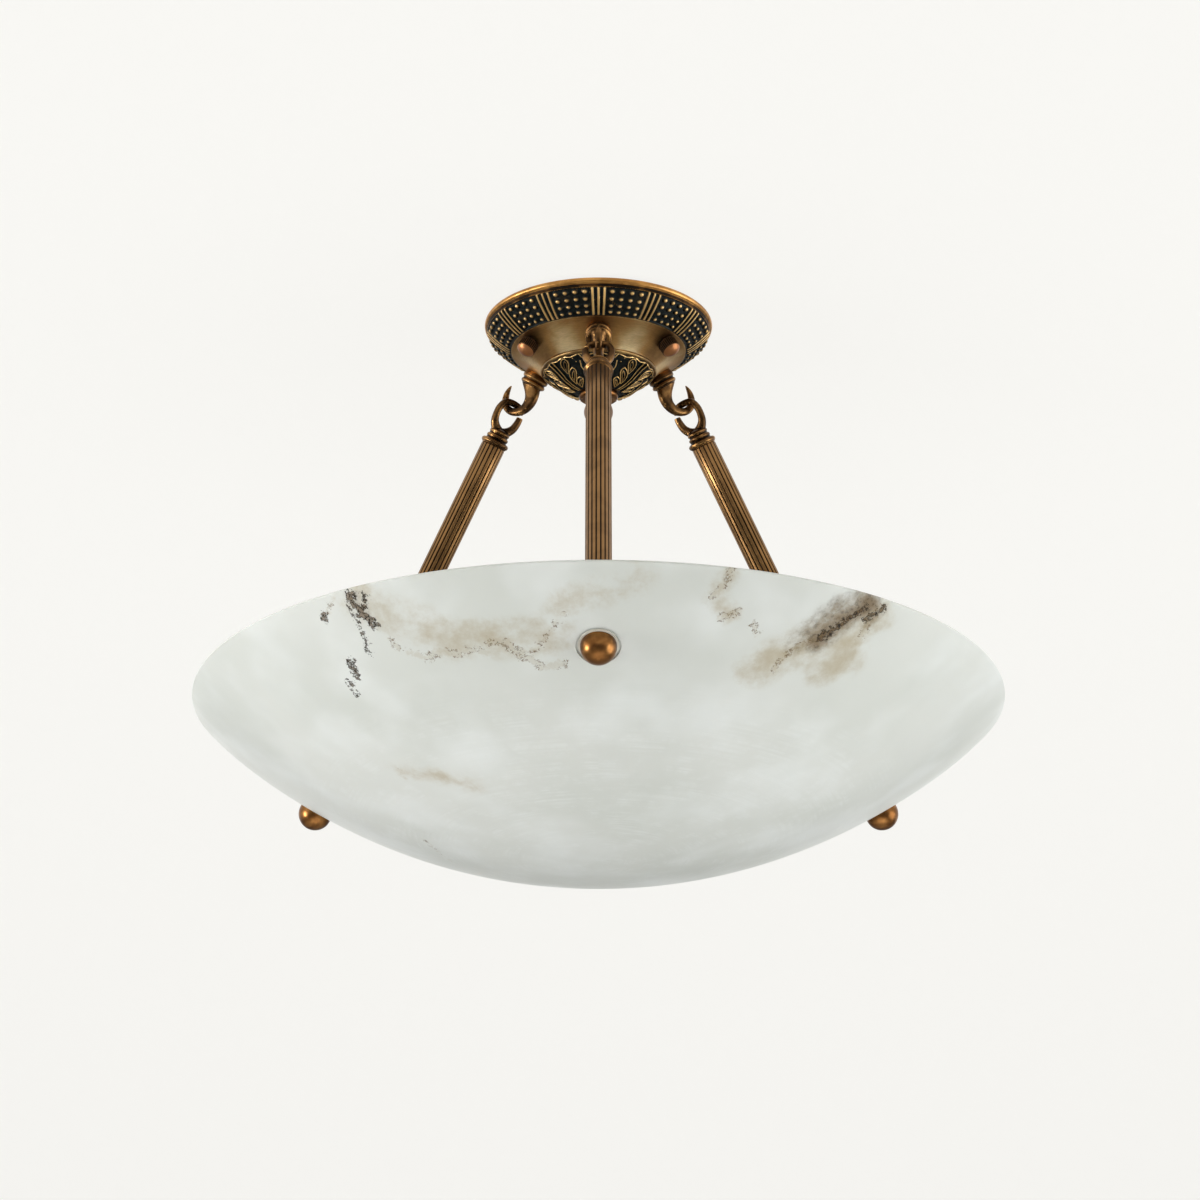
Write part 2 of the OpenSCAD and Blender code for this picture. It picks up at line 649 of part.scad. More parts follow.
// Eye of a rod: one leg runs over the hook as an arch and stops short of the tip of the other leg
arch_t = -eye_wire_d / 2;
wire = eye_wire_d / 2;
long_leg = [[1.2, 18.2, 3.4, 3.2], [4.4, 16.0, 3.0, 2.8], [7.0, 12.4, 2.5, 2.5], [eye_half_w, 7.6, 2.2, 2.4],
    [eye_half_w - 0.3, 3.0, 2.2, 2.3], [eye_half_w - 2.6, arch_t + 1.0, wire - 0.1, wire],
    [0, arch_t, wire, wire], [-eye_half_w + 2.6, arch_t + 1.0, wire - 0.2, wire - 0.1],
    [-eye_half_w + 0.5, 2.4, wire - 0.5, wire - 0.4]];
short_leg = [[-1.2, 18.2, 3.4, 3.2], [-4.4, 16.0, 3.0, 2.8], [-7.0, 12.4, 2.6, 2.5],
    [-eye_half_w, 7.8, 2.3, 2.4], [-eye_half_w - 0.1, 3.9, 2.0, 2.2]];
flange_r = flange_d / 2;
neck_profile = [[0, 16.6], [4.6, 16.6], [6.2, 17.6], [6.9, 18.8], [6.2, 19.8], [6.0, 20.4], [7.2, 21.2],
    [7.3, 22.4], [6.6, 23.2], [6.8, 23.8], [flange_r - 0.6, 24.4], [flange_r, 25.2], [flange_r, 26.4],
    [flange_r - 0.9, 27.3], [flange_r - 1.3, 28], [0, 28]];

module eye(azimuth, turn, side) {
    color(bronze) on_rod(azimuth) rotate([0, 0, turn]) {
        union() {
            rotate([90, 0, 0]) mirror([side < 0 ? 1 : 0, 0, 0]) {
                tapered_bar(long_leg, 12, 3);
                tapered_bar(short_leg, 12, 3);
            }
            rotate_extrude($fn = 64) polygon([for (p = neck_profile) [p.x, p.y * rod_top / 28]]);
            translate([0, 0, rod_top - 1]) cylinder(d = stud_d, h = eye_shank + 1, $fn = 64);
        }
    }
}

module stud(azimuth) {
    color(steel) on_rod(azimuth) tube(stud_d, 0, inner_washer_t - stud_in_rod, dome_t + dome_bore - 0.5);
}

module inner_washer(azimuth) {
    color(brass) on_rod(azimuth) tube(washer_d, stud_d + 2 * slip, inner_washer_t, inner_washer_t + inner_washer_h);
}

module outer_washer(azimuth) {
    color(pale) on_rod(azimuth) tube(washer_d, stud_d + 2 * slip, outer_washer_t, dome_t);
}

// Dome nut: a short round base and a half ball, with a blind bore
module dome_nut(azimuth) {
    color(bright_brass) on_rod(azimuth) translate([0, 0, dome_t]) difference() {
        union() {
            cylinder(d = dome_d, h = dome_base_h, $fn = 96);
            intersection() {
                translate([0, 0, dome_base_h]) sphere(d = dome_d, $fn = 96);
                cylinder(d = dome_d + 2, h = dome_d, $fn = 64);
            }
        }
        translate([0, 0, -1]) cylinder(d = stud_d + 2 * slip, h = dome_bore + 1, $fn = 64);
    }
}

// Turned stone bowl, ground flat at its rim and at the six spots where the rods clamp it
module bowl() {
    outside = [for (k = [0:bowl_steps]) [bowl_radius_at(k), bowl_z(bowl_radius_at(k))]];
    rim_edge = [[bowl_r - 0.3 * rim_round, -bowl_drop - 0.4 * rim_round],
        [bowl_r - rim_round, -bowl_drop]];
    inside = [for (k = [bowl_steps:-1:0]) let (p = bowl_inside(bowl_radius_at(k))) if (p.y < -bowl_drop - rim_round) p];
    land = inside[0].x + (-bowl_drop - inside[0].y) / tan(bowl_slope(inside[0].x + wall * 0.7));
    color(stone) difference() {
        rotate_extrude($fn = 180) polygon(concat([[0, bowl_z(0)]], [for (k = [1:bowl_steps]) outside[k]], rim_edge,
            [[land + rim_round, -bowl_drop], [land, -bowl_drop - rim_round]], [for (p = inside) if (p.x > 0) p],
            [[0, bowl_z(0) + wall]]));
        for (a = hook_places) on_rod(a) {
            translate([0, 0, spot_in - cutter_l]) cylinder(d = bowl_hole_d, h = 2 * cutter_l, $fn = 64);
            translate([0, 0, spot_out]) cylinder(d = spot_d, h = cutter_l, $fn = 64);
            translate([0, 0, spot_in - cutter_l]) cylinder(d = spot_d, h = cutter_l, $fn = 64);
        }
    }
}

module stem() {
    color(bronze) tube(stem_d, stem_d - 3, hub_top + hub_neck_h / 2, stem_top);
}

// Cluster body: a turned drum, hollow from below, with bores for the stem and three arms
module lamp_hub() {
    color(brass) difference() {
        union() {
            translate([0, 0, hub_top - hub_h]) cylinder(d = hub_d, h = hub_h, $fn = 96);
            translate([0, 0, hub_top - eps]) cylinder(d1 = stem_d + 14, d2 = stem_d + 5, h = hub_neck_h, $fn = 64);
        }
        translate([0, 0, hub_top - hub_h - 1]) cylinder(d = hub_d - 2 * hub_wall, h = hub_h - hub_wall + 1, $fn = 96);
        translate([0, 0, hub_top - hub_wall - 1])
            cylinder(d = stem_d - 2, h = hub_wall + hub_neck_h + 2, $fn = 64);
        translate([0, 0, hub_top + hub_neck_h / 2]) cylinder(d = stem_d + slip, h = hub_neck_h, $fn = 64);
        for (a = screw_places) on_lamp(a)
            translate([0, 0, arm_in - hub_wall]) cylinder(d = arm_d + slip, h = hub_d / 2, $fn = 64);
    }
}

// Cover that closes the cluster body from below, with a small turned knob
module hub_cover() {
    cover_z = hub_top - hub_h;
    cover_h = 8;
    cover_turn = -26;
    lip_h = 2.5;
    edge_h = 1.5;
    end_d = 8;
    lip_d = hub_d - 2 * hub_wall - 2 * slip;
    color(brass) translate([0, 0, cover_z]) union() {
        rotate_extrude($fn = 96) polygon(concat([[0, lip_h], [lip_d / 2, lip_h], [lip_d / 2, 0], [hub_d / 2, 0]],
            arc_points([hub_d / 2, -edge_h], [end_d / 2, -cover_h], cover_turn), [[0, -cover_h]]));
        translate([0, 0, -cover_h - 3]) sphere(d = end_d, $fn = 64);
    }
}

module lamp_arm(azimuth) { color(bronze) on_lamp(azimuth) tube(arm_d, arm_d - 3, arm_in, holder_start + holder_back); }

// Lampholder: a cup with a stepped back, bored for the arm and for the bulb's screw cap
module lampholder(azimuth) {
    outer = [[arm_d / 2 + 2, 0], [holder_d / 2 - 5, 0], [holder_d / 2, 5], [holder_d / 2, holder_l - 6],
        [holder_d / 2 - 1.5, holder_l - 6], [holder_d / 2 - 1.5, holder_l]];
    color(white) on_lamp(azimuth) translate([0, 0, holder_start]) difference() {
        rotate_extrude($fn = 96) polygon(concat([[0, 0]], outer, [[0, holder_l]]));
        translate([0, 0, holder_back]) cylinder(d = bulb_cap_d - 4, h = holder_l, $fn = 64);
        translate([0, 0, holder_l - cap_l]) cylinder(d = bulb_cap_d + 2 * thread_gap, h = cap_l + 1, $fn = 64);
        translate([0, 0, -1]) cylinder(d = arm_d + slip, h = holder_back + 2, $fn = 64);
    }
}

// Screw cap of a bulb, a metal shell closed by its contact
module bulb_cap(azimuth) {
    color(steel) on_lamp(azimuth) translate([0, 0, cap_start]) rotate_extrude($fn = 64)
        polygon([[0, 0], [5, 0], [5, 1.5], [9, 4], [bulb_cap_d / 2, 6], [bulb_cap_d / 2, cap_l],
            [bulb_cap_d / 2 - 1, cap_l], [bulb_cap_d / 2 - 1, cap_l - cap_in_glass], [0, cap_l - cap_in_glass]]);
}

// Frosted glass of a bulb: a neck that widens into a ball
module bulb_glass(azimuth) {
    neck_r = bulb_cap_d / 2 - 1 - slip;
    ball_mid = glass_l - bulb_d / 2;
    join_r = bulb_d / 2 * cos(38);
    join_z = ball_mid - bulb_d / 2 * sin(38);
    round_part = [for (a = [-38:8:90]) [bulb_d / 2 * cos(a), ball_mid + bulb_d / 2 * sin(a)]];
    color(pale) on_lamp(azimuth) translate([0, 0, holder_mouth]) rotate_extrude($fn = 96)
        polygon(concat([[0, -cap_in_glass], [neck_r, -cap_in_glass], [neck_r, 2]],
            [for (k = [1:6]) let (u = k / 7) [neck_r + (join_r - neck_r) * u * u * (1.6 - 0.6 * u),
                2 + (join_z - 2) * u]], round_part, [[0, glass_l]]));
}

ceiling_plate();
plate_locknut();
centre_nipple();
terminal_block();
earth_screw();
canopy_dish();
canopy_cup();
cup_ring();
finial_ball();
finial_bead();
hook(front);  // hook_front
hook(right);  // hook_right
hook(left);  // hook_left
hook_washers();
hook_nuts();
cap_screws();
rod(front);  // rod_front
rod(right);  // rod_right
rod(left);  // rod_left
eye(front, 0, 1);  // eye_front
eye(right, -eye_turn, -1);  // eye_right
eye(left, eye_turn, 1);  // eye_left
stud(front);  // stud_front
stud(right);  // stud_right
stud(left);  // stud_left
inner_washer(front);  // inner_washer_front
inner_washer(right);  // inner_washer_right
inner_washer(left);  // inner_washer_left
outer_washer(front);  // outer_washer_front
outer_washer(right);  // outer_washer_right
outer_washer(left);  // outer_washer_left
dome_nut(front);  // dome_nut_front
dome_nut(right);  // dome_nut_right
dome_nut(left);  // dome_nut_left
bowl();
stem();
lamp_hub();
hub_cover();
lamp_arm(lamp_right);  // lamp_arm_right
lamp_arm(lamp_left);  // lamp_arm_left
lamp_arm(lamp_back);  // lamp_arm_back
lampholder(lamp_right);  // lampholder_right
lampholder(lamp_left);  // lampholder_left
lampholder(lamp_back);  // lampholder_back
bulb_cap(lamp_right);  // bulb_cap_right
bulb_cap(lamp_left);  // bulb_cap_left
bulb_cap(lamp_back);  // bulb_cap_back
bulb_glass(lamp_right);  // bulb_glass_right
bulb_glass(lamp_left);  // bulb_glass_left
bulb_glass(lamp_back);  // bulb_glass_back
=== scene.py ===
import logging
import math
from dataclasses import dataclass, field
from enum import Enum
from typing import Callable, Optional, Sequence

import bmesh
import bpy
import numpy as np
from mathutils import Matrix, Vector


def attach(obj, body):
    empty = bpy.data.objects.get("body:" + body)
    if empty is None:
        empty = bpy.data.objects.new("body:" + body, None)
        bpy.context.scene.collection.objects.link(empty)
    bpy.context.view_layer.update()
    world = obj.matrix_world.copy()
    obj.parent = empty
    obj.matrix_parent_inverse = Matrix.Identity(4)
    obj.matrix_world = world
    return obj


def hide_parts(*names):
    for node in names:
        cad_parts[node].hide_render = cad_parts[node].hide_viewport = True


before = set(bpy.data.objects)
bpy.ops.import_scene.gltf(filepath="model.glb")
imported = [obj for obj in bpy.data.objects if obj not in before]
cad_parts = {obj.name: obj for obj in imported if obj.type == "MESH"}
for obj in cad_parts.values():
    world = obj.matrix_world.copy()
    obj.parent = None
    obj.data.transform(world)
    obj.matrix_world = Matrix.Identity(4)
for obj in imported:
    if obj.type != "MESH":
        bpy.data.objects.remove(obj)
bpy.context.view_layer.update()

# SINK is how far a carved field lies below its rim
MM = 0.001
SINK = 0.35
# CREST names each point's share of rubbed-bright metal; on the plain band it holds a painted highlight
CREST = "crest"
Colour = tuple[float, float, float]
Spot = tuple[float, float, float]
Point = tuple[float, float]
Grid = np.ndarray
Raised = tuple[Grid, Grid]
Relief = Callable[[Grid, Grid, Grid], Raised]
Socket = bpy.types.NodeSocket
log = logging.getLogger("ceiling_light")


class Side(Enum):
    """The three rods, by azimuth in degrees."""

    FRONT = 0
    RIGHT = 120
    LEFT = -120

    @property
    def word(self) -> str:
        """The side's name as the nodes use it."""
        return self.name.lower()


class Lamp(Enum):
    """The three lamp arms, and the three cap screws over them, by azimuth in degrees."""

    RIGHT = 60
    LEFT = -60
    BACK = 180

    @property
    def word(self) -> str:
        """The lamp's name as the nodes use it."""
        return self.name.lower()


class Body(Enum):
    """The bodies that pieces ride on."""

    CANOPY = "canopy"
    BOWL = "bowl"
    ROD_FRONT = "rod_front_set"
    ROD_RIGHT = "rod_right_set"
    ROD_LEFT = "rod_left_set"

    @classmethod
    def of_side(cls, side: Side) -> "Body":
        """The rod body on a side."""
        return cls[f"ROD_{side.name}"]


# Colours are linear, as a shader takes them
def from_screen(red: int, green: int, blue: int) -> Colour:
    """Turns a colour as a screen shows it, 0 to 255, into a linear one.

    Args:
        red: Red, 0 to 255.
        green: Green, 0 to 255.
        blue: Blue, 0 to 255.

    Returns:
        The linear colour, each part 0 to 1.
    """
    return tuple(
        v / 12.92 if v <= 0.04045 else ((v + 0.055) / 1.055) ** 2.4
        for v in (red / 255, green / 255, blue / 255)
    )


class NodeSheet:
    """Places shader nodes in one tree and wires them.

    A Mix node numbers its sockets over all its kinds of data: these are the ones for colours.
    """

    MIX_FACTOR, MIX_FIRST, MIX_SECOND, MIX_RESULT = 0, 6, 7, 2

    def __init__(self, tree: bpy.types.NodeTree) -> None:
        """Keeps the tree to work in."""
        self.tree = tree

    def feed(self, socket: Socket, value: object) -> None:
        """Links a socket to another, or sets its value.

        Args:
            socket: The input socket.
            value: An output socket, a number, a colour or a vector.
        """
        if isinstance(value, Socket):
            self.tree.links.new(value, socket)
        elif socket.type == "RGBA" and len(value) == 3:
            socket.default_value = (*value, 1.0)
        else:
            socket.default_value = value

    def add(self, kind: str, inputs: Optional[dict] = None, **settings: object) -> bpy.types.Node:
        """Adds one node.

        Args:
            kind: The node's type name.
            inputs: Values or sockets for its inputs, by name or index.
            **settings: The node's own settings.

        Returns:
            The node.
        """
        node = self.tree.nodes.new(kind)
        for name, value in settings.items():
            setattr(node, name, value)
        for name, value in (inputs or {}).items():
            self.feed(node.inputs[name], value)
        return node

    def math(self, operation: str, a: object, b: object = 0.0, clamp: bool = False) -> Socket:
        """A Math node on one or two values.

        Args:
            operation: The node's operation.
            a: First value or socket.
            b: Second value or socket.
            clamp: Whether to hold the result between 0 and 1.

        Returns:
            The result.
        """
        node = self.add("ShaderNodeMath", operation=operation, use_clamp=clamp)
        self.feed(node.inputs[0], a)
        self.feed(node.inputs[1], b)
        return node.outputs[0]

    def times(self, *factors: object) -> Socket:
        """The product of two or more values.

        Args:
            *factors: Values or sockets.

        Returns:
            The product.
        """
        product = factors[0]
        for factor in factors[1:]:
            product = self.math("MULTIPLY", product, factor)
        return product

    def vector(self, operation: str, a: object, b: object = (0.0, 0.0, 0.0)) -> bpy.types.Node:
        """A Vector Math node on two vectors.

        Args:
            operation: The node's operation.
            a: First vector or socket.
            b: Second vector or socket.

        Returns:
            The node.
        """
        node = self.add("ShaderNodeVectorMath", operation=operation)
        self.feed(node.inputs[0], a)
        self.feed(node.inputs[1], b)
        return node

    def ramp(self, value: object, low: float, high: float, to_low: float = 0.0,
             to_high: float = 1.0) -> Socket:
        """A smooth step from one value to another.

        Args:
            value: The value or socket.
            low: Where the step starts.
            high: Where it ends.
            to_low: Result at the start.
            to_high: Result at the end.

        Returns:
            The result.
        """
        node = self.add("ShaderNodeMapRange", interpolation_type="SMOOTHSTEP")
        for name, number in (("Value", value), ("From Min", low), ("From Max", high),
                             ("To Min", to_low), ("To Max", to_high)):
            self.feed(node.inputs[name], number)
        return node.outputs["Result"]

    def mix(self, factor: object, a: object, b: object) -> Socket:
        """Mixes two colours.

        Args:
            factor: Share of the second colour.
            a: First colour or socket.
            b: Second colour or socket.

        Returns:
            The mixed colour.
        """
        node = self.add("ShaderNodeMix", data_type="RGBA")
        self.feed(node.inputs[self.MIX_FACTOR], factor)
        self.feed(node.inputs[self.MIX_FIRST], a)
        self.feed(node.inputs[self.MIX_SECOND], b)
        return node.outputs[self.MIX_RESULT]

    def noise(self, vector: object, scale: object, detail: float = 4.0, roughness: float = 0.5,
              distortion: float = 0.0) -> bpy.types.Node:
        """A noise texture.

        Args:
            vector: Where it is read.
            scale: Its scale.
            detail: Number of finer layers.
            roughness: Strength of the finer layers.
            distortion: How far it is bent.

        Returns:
            The node, with outputs Fac and Color.
        """
        return self.add("ShaderNodeTexNoise", {"Vector": vector, "Scale": scale, "Detail": detail,
                                               "Roughness": roughness, "Distortion": distortion})

    def position(self) -> Socket:
        """The point on the surface at rest, in metres, which moves with the piece."""
        return self.add("ShaderNodeTexCoord").outputs["Object"]

    def group(self, name: str, inputs: dict) -> bpy.types.Node:
        """Places a shared group.

        Args:
            name: The group's name.
            inputs: Values or sockets for its inputs.

        Returns:
            The group's node.
        """
        node = self.tree.nodes.new("ShaderNodeGroup")
        node.node_tree = SharedGroups.get(name)
        for key, value in inputs.items():
            self.feed(node.inputs[key], value)
        return node


class SharedGroups:
    """The node groups that several finishes use, each built once.

    A sharp edge has a Pointiness above FLAT and a hollow has one below it. AROUND is how much an angle counts
    beside a radius, so that lines run round.
    """

    FLAT, EDGE, HOLLOW_FROM, HOLLOW = 0.5, 0.57, 0.496, 0.44
    AROUND = 0.004

    @classmethod
    def get(cls, name: str) -> bpy.types.NodeTree:
        """A group by its name, built at its first use."""
        found = bpy.data.node_groups.get(name)
        return found if found else getattr(cls, name)(name)

    @staticmethod
    def _start(name: str, inputs: dict[str, str],
               outputs: dict[str, str]) -> tuple[NodeSheet, dict, bpy.types.Node]:
        """Starts a group with named sockets.

        Args:
            name: The group's name.
            inputs: Socket kinds by name.
            outputs: Socket kinds by name.

        Returns:
            The sheet, the input sockets by name, and the output node.
        """
        tree = bpy.data.node_groups.new(name, "ShaderNodeTree")
        for key, kind in inputs.items():
            tree.interface.new_socket(key, in_out="INPUT", socket_type=f"NodeSocket{kind}")
        for key, kind in outputs.items():
            tree.interface.new_socket(key, in_out="OUTPUT", socket_type=f"NodeSocket{kind}")
        sheet = NodeSheet(tree)
        source = sheet.add("NodeGroupInput")
        sink = sheet.add("NodeGroupOutput")
        return sheet, {key: source.outputs[key] for key in inputs}, sink

    @classmethod
    def casting(cls, name: str) -> bpy.types.NodeTree:
        """Fine pits and soft lumps of cast or handled metal: a height and a blotch mask.

        Args:
            name: The group's name.

        Returns:
            The group's tree.
        """
        sheet, at, sink = cls._start(name, {"Position": "Vector", "Grain": "Float", "Blotch": "Float"},
                                     {"Height": "Float", "Blotches": "Float"})
        fine = sheet.noise(at["Position"], at["Grain"], 6.0, 0.62).outputs["Fac"]
        broad = sheet.noise(at["Position"], at["Blotch"], 3.0, 0.55, 0.6).outputs["Fac"]
        sheet.feed(sink.inputs["Height"], sheet.math("ADD", fine, sheet.times(broad, 0.5)))
        sheet.feed(sink.inputs["Blotches"], sheet.ramp(broad, 0.34, 0.68))
        return sheet.tree

    @classmethod
    def rubbed(cls, name: str) -> bpy.types.NodeTree:
        """Where patina is rubbed off: crests and sharp edges show metal, recesses stay dark. A crest fed in
        can also carry a painted highlight, as on the plain band.

        Args:
            name: The group's name.

        Returns:
            The group's tree.
        """
        wanted = dict.fromkeys(("Crest", "Blotches", "Edge", "Spread"), "Float")
        sheet, at, sink = cls._start(name, wanted, {"Mask": "Float"})
        bend = sheet.add("ShaderNodeNewGeometry").outputs["Pointiness"]
        worn_edge = sheet.times(sheet.ramp(bend, cls.FLAT, cls.EDGE), at["Edge"])
        sunk = sheet.times(sheet.ramp(bend, cls.HOLLOW_FROM, cls.HOLLOW), at["Edge"])
        base = sheet.math("SUBTRACT", sheet.math("ADD", at["Crest"], worn_edge), sunk)
        uneven = sheet.times(sheet.math("SUBTRACT", at["Blotches"], 0.5), at["Spread"])
        sheet.feed(sink.inputs["Mask"], sheet.math("ADD", base, uneven, clamp=True))
        return sheet.tree

    @classmethod
    def turned_lines(cls, name: str) -> bpy.types.NodeTree:
        """Fine lines round an axis through a centre, as a lathe or a brush leaves them.

        Args:
            name: The group's name.

        Returns:
            The group's tree.
        """
        sheet, at, sink = cls._start(name, {"Position": "Vector", "Lines": "Float"},
                                     {"Height": "Float", "Streaks": "Float"})
        split = sheet.add("ShaderNodeSeparateXYZ", {0: at["Position"]}).outputs
        squares = [sheet.math("POWER", part, 2.0) for part in (split[0], split[1])]
        radius = sheet.math("SQRT", sheet.math("ADD", *squares))
        angle = sheet.times(sheet.math("ARCTAN2", split[0], split[1]), cls.AROUND)
        joined = sheet.add("ShaderNodeCombineXYZ", {0: radius, 1: angle, 2: split[2]}).outputs[0]
        lines = sheet.noise(joined, at["Lines"], 3.0, 0.7).outputs["Fac"]
        sheet.feed(sink.inputs["Height"], lines)
        sheet.feed(sink.inputs["Streaks"], sheet.ramp(lines, 0.3, 0.7))
        return sheet.tree


@dataclass(frozen=True)
class Finish:
    """A finish that goes on pieces and CAD nodes; its slot is the record's material slot."""

    name: str
    slot: str

    def _build(self, sheet: NodeSheet, shader: bpy.types.Node) -> None:
        """Feeds the shader; each kind of finish has its own way.

        Args:
            sheet: The material's nodes.
            shader: Its Principled BSDF.
        """
        raise NotImplementedError

    def material(self) -> bpy.types.Material:
        """Makes the finish's material, or finds it if it is made.

        Returns:
            The material.
        """
        found = bpy.data.materials.get(self.name)
        if found:
            return found
        made = bpy.data.materials.new(self.name)
        made.use_nodes = True
        sheet = NodeSheet(made.node_tree)
        self._build(sheet, made.node_tree.nodes["Principled BSDF"])
        return made


@dataclass(frozen=True)
class BrassFinish(Finish):
    """Brass with patina: dark in the recesses, rubbed to bright metal on crests and edges."""

    bright: Colour = (0.6, 0.38, 0.16)
    dark: Colour = (0.03, 0.028, 0.022)
    tone: Colour = (0.3, 0.18, 0.08)
    crest: float = 0.6
    reads_crest: bool = False
    edge: float = 0.5
    spread: float = 0.3
    rough_bright: float = 0.3
    rough_dark: float = 0.55
    grain: float = 2600.0
    blotch: float = 90.0
    bump: float = 0.15
    brushed: float = 0.0
    brush_lines: float = 2400.0
    grained: float = 0.0
    relief_m: float = 0.0004

    def _streak_share(self) -> float:
        """How strongly brushing darkens the finish."""
        return self.brushed * (0.35 + 0.25 * self.spread)

    def _build(self, sheet: NodeSheet, shader: bpy.types.Node) -> None:
        """Feeds colour, roughness and normal from patina, wear and grain.

        Args:
            sheet: The material's nodes.
            shader: Its Principled BSDF.
        """
        place = sheet.position()
        grain = sheet.group("casting", {"Position": place, "Grain": self.grain, "Blotch": self.blotch})
        crest: object = self.crest
        if self.reads_crest:
            crest = sheet.add("ShaderNodeAttribute", attribute_name=CREST).outputs["Fac"]
        # wear, and on the plain band a painted highlight carried by its crest
        wear_and_sheen = sheet.group("rubbed", {"Crest": crest, "Blotches": grain.outputs["Blotches"],
                                      "Edge": self.edge, "Spread": self.spread}).outputs["Mask"]
        low = sheet.mix(sheet.ramp(wear_and_sheen, 0.0, 0.55), self.dark, self.tone)
        colour = sheet.mix(sheet.ramp(wear_and_sheen, 0.45, 1.0), low, self.bright)
        height = grain.outputs["Height"]
        if self.brushed > 0:
            lines = sheet.group("turned_lines", {"Position": place, "Lines": self.brush_lines})
            dulled = sheet.times(lines.outputs["Streaks"], self._streak_share())
            colour = sheet.mix(dulled, colour, self.dark)
            height = sheet.math("ADD", sheet.times(height, 0.4), lines.outputs["Height"])
        sheet.feed(shader.inputs["Base Color"], colour)
        shader.inputs["Metallic"].default_value = 1.0
        shader.inputs["Anisotropic"].default_value = self.grained
        sheet.feed(shader.inputs["Roughness"], sheet.ramp(wear_and_sheen, 0.0, 1.0, self.rough_dark, self.rough_bright))
        bump = sheet.add("ShaderNodeBump", {"Strength": self.bump, "Distance": self.relief_m,
                                            "Height": height})
        sheet.feed(shader.inputs["Normal"], bump.outputs["Normal"])


@dataclass(frozen=True)
class PlainFinish(Finish):
    """Steel, porcelain, plastic or a washer: one colour with slight unevenness and fine grain."""

    colour: Colour = (0.8, 0.8, 0.8)
    shade: float = 0.85
    metallic: float = 0.0
    rough: float = 0.4
    grain: float = 900.0
    blotch: float = 45.0
    bump: float = 0.06
    relief_m: float = 0.0003

    def _build(self, sheet: NodeSheet, shader: bpy.types.Node) -> None:
        """Feeds a slightly uneven colour, roughness and grain.

        Args:
            sheet: The material's nodes.
            shader: Its Principled BSDF.
        """
        grain = sheet.group("casting", {"Position": sheet.position(), "Grain": self.grain,
                                        "Blotch": self.blotch})
        shaded = tuple(v * self.shade for v in self.colour)
        sheet.feed(shader.inputs["Base Color"], sheet.mix(grain.outputs["Blotches"], shaded, self.colour))
        shader.inputs["Metallic"].default_value = self.metallic
        sheet.feed(shader.inputs["Roughness"],
                   sheet.ramp(grain.outputs["Blotches"], 0.0, 1.0, self.rough * 1.15, self.rough * 0.9))
        bump = sheet.add("ShaderNodeBump", {"Strength": self.bump, "Distance": self.relief_m,
                                            "Height": grain.outputs["Height"]})
        sheet.feed(shader.inputs["Normal"], bump.outputs["Normal"])


class Trace(Enum):
    """The kinds of trace in the stone, by the name of the field that a mesh holds for each."""

    CRACK = "crack_trace"
    LACE = "lace_trace"
    STAIN = "stain_trace"
    SMOKE = "smoke_trace"


@dataclass(frozen=True)
class Vein:
    """A vein in the stone: a run of places on the bowl's outside, each an azimuth and a radius."""

    trace: Trace
    run: tuple[tuple[float, float], ...]
    width: float
    depth: float = 1.0


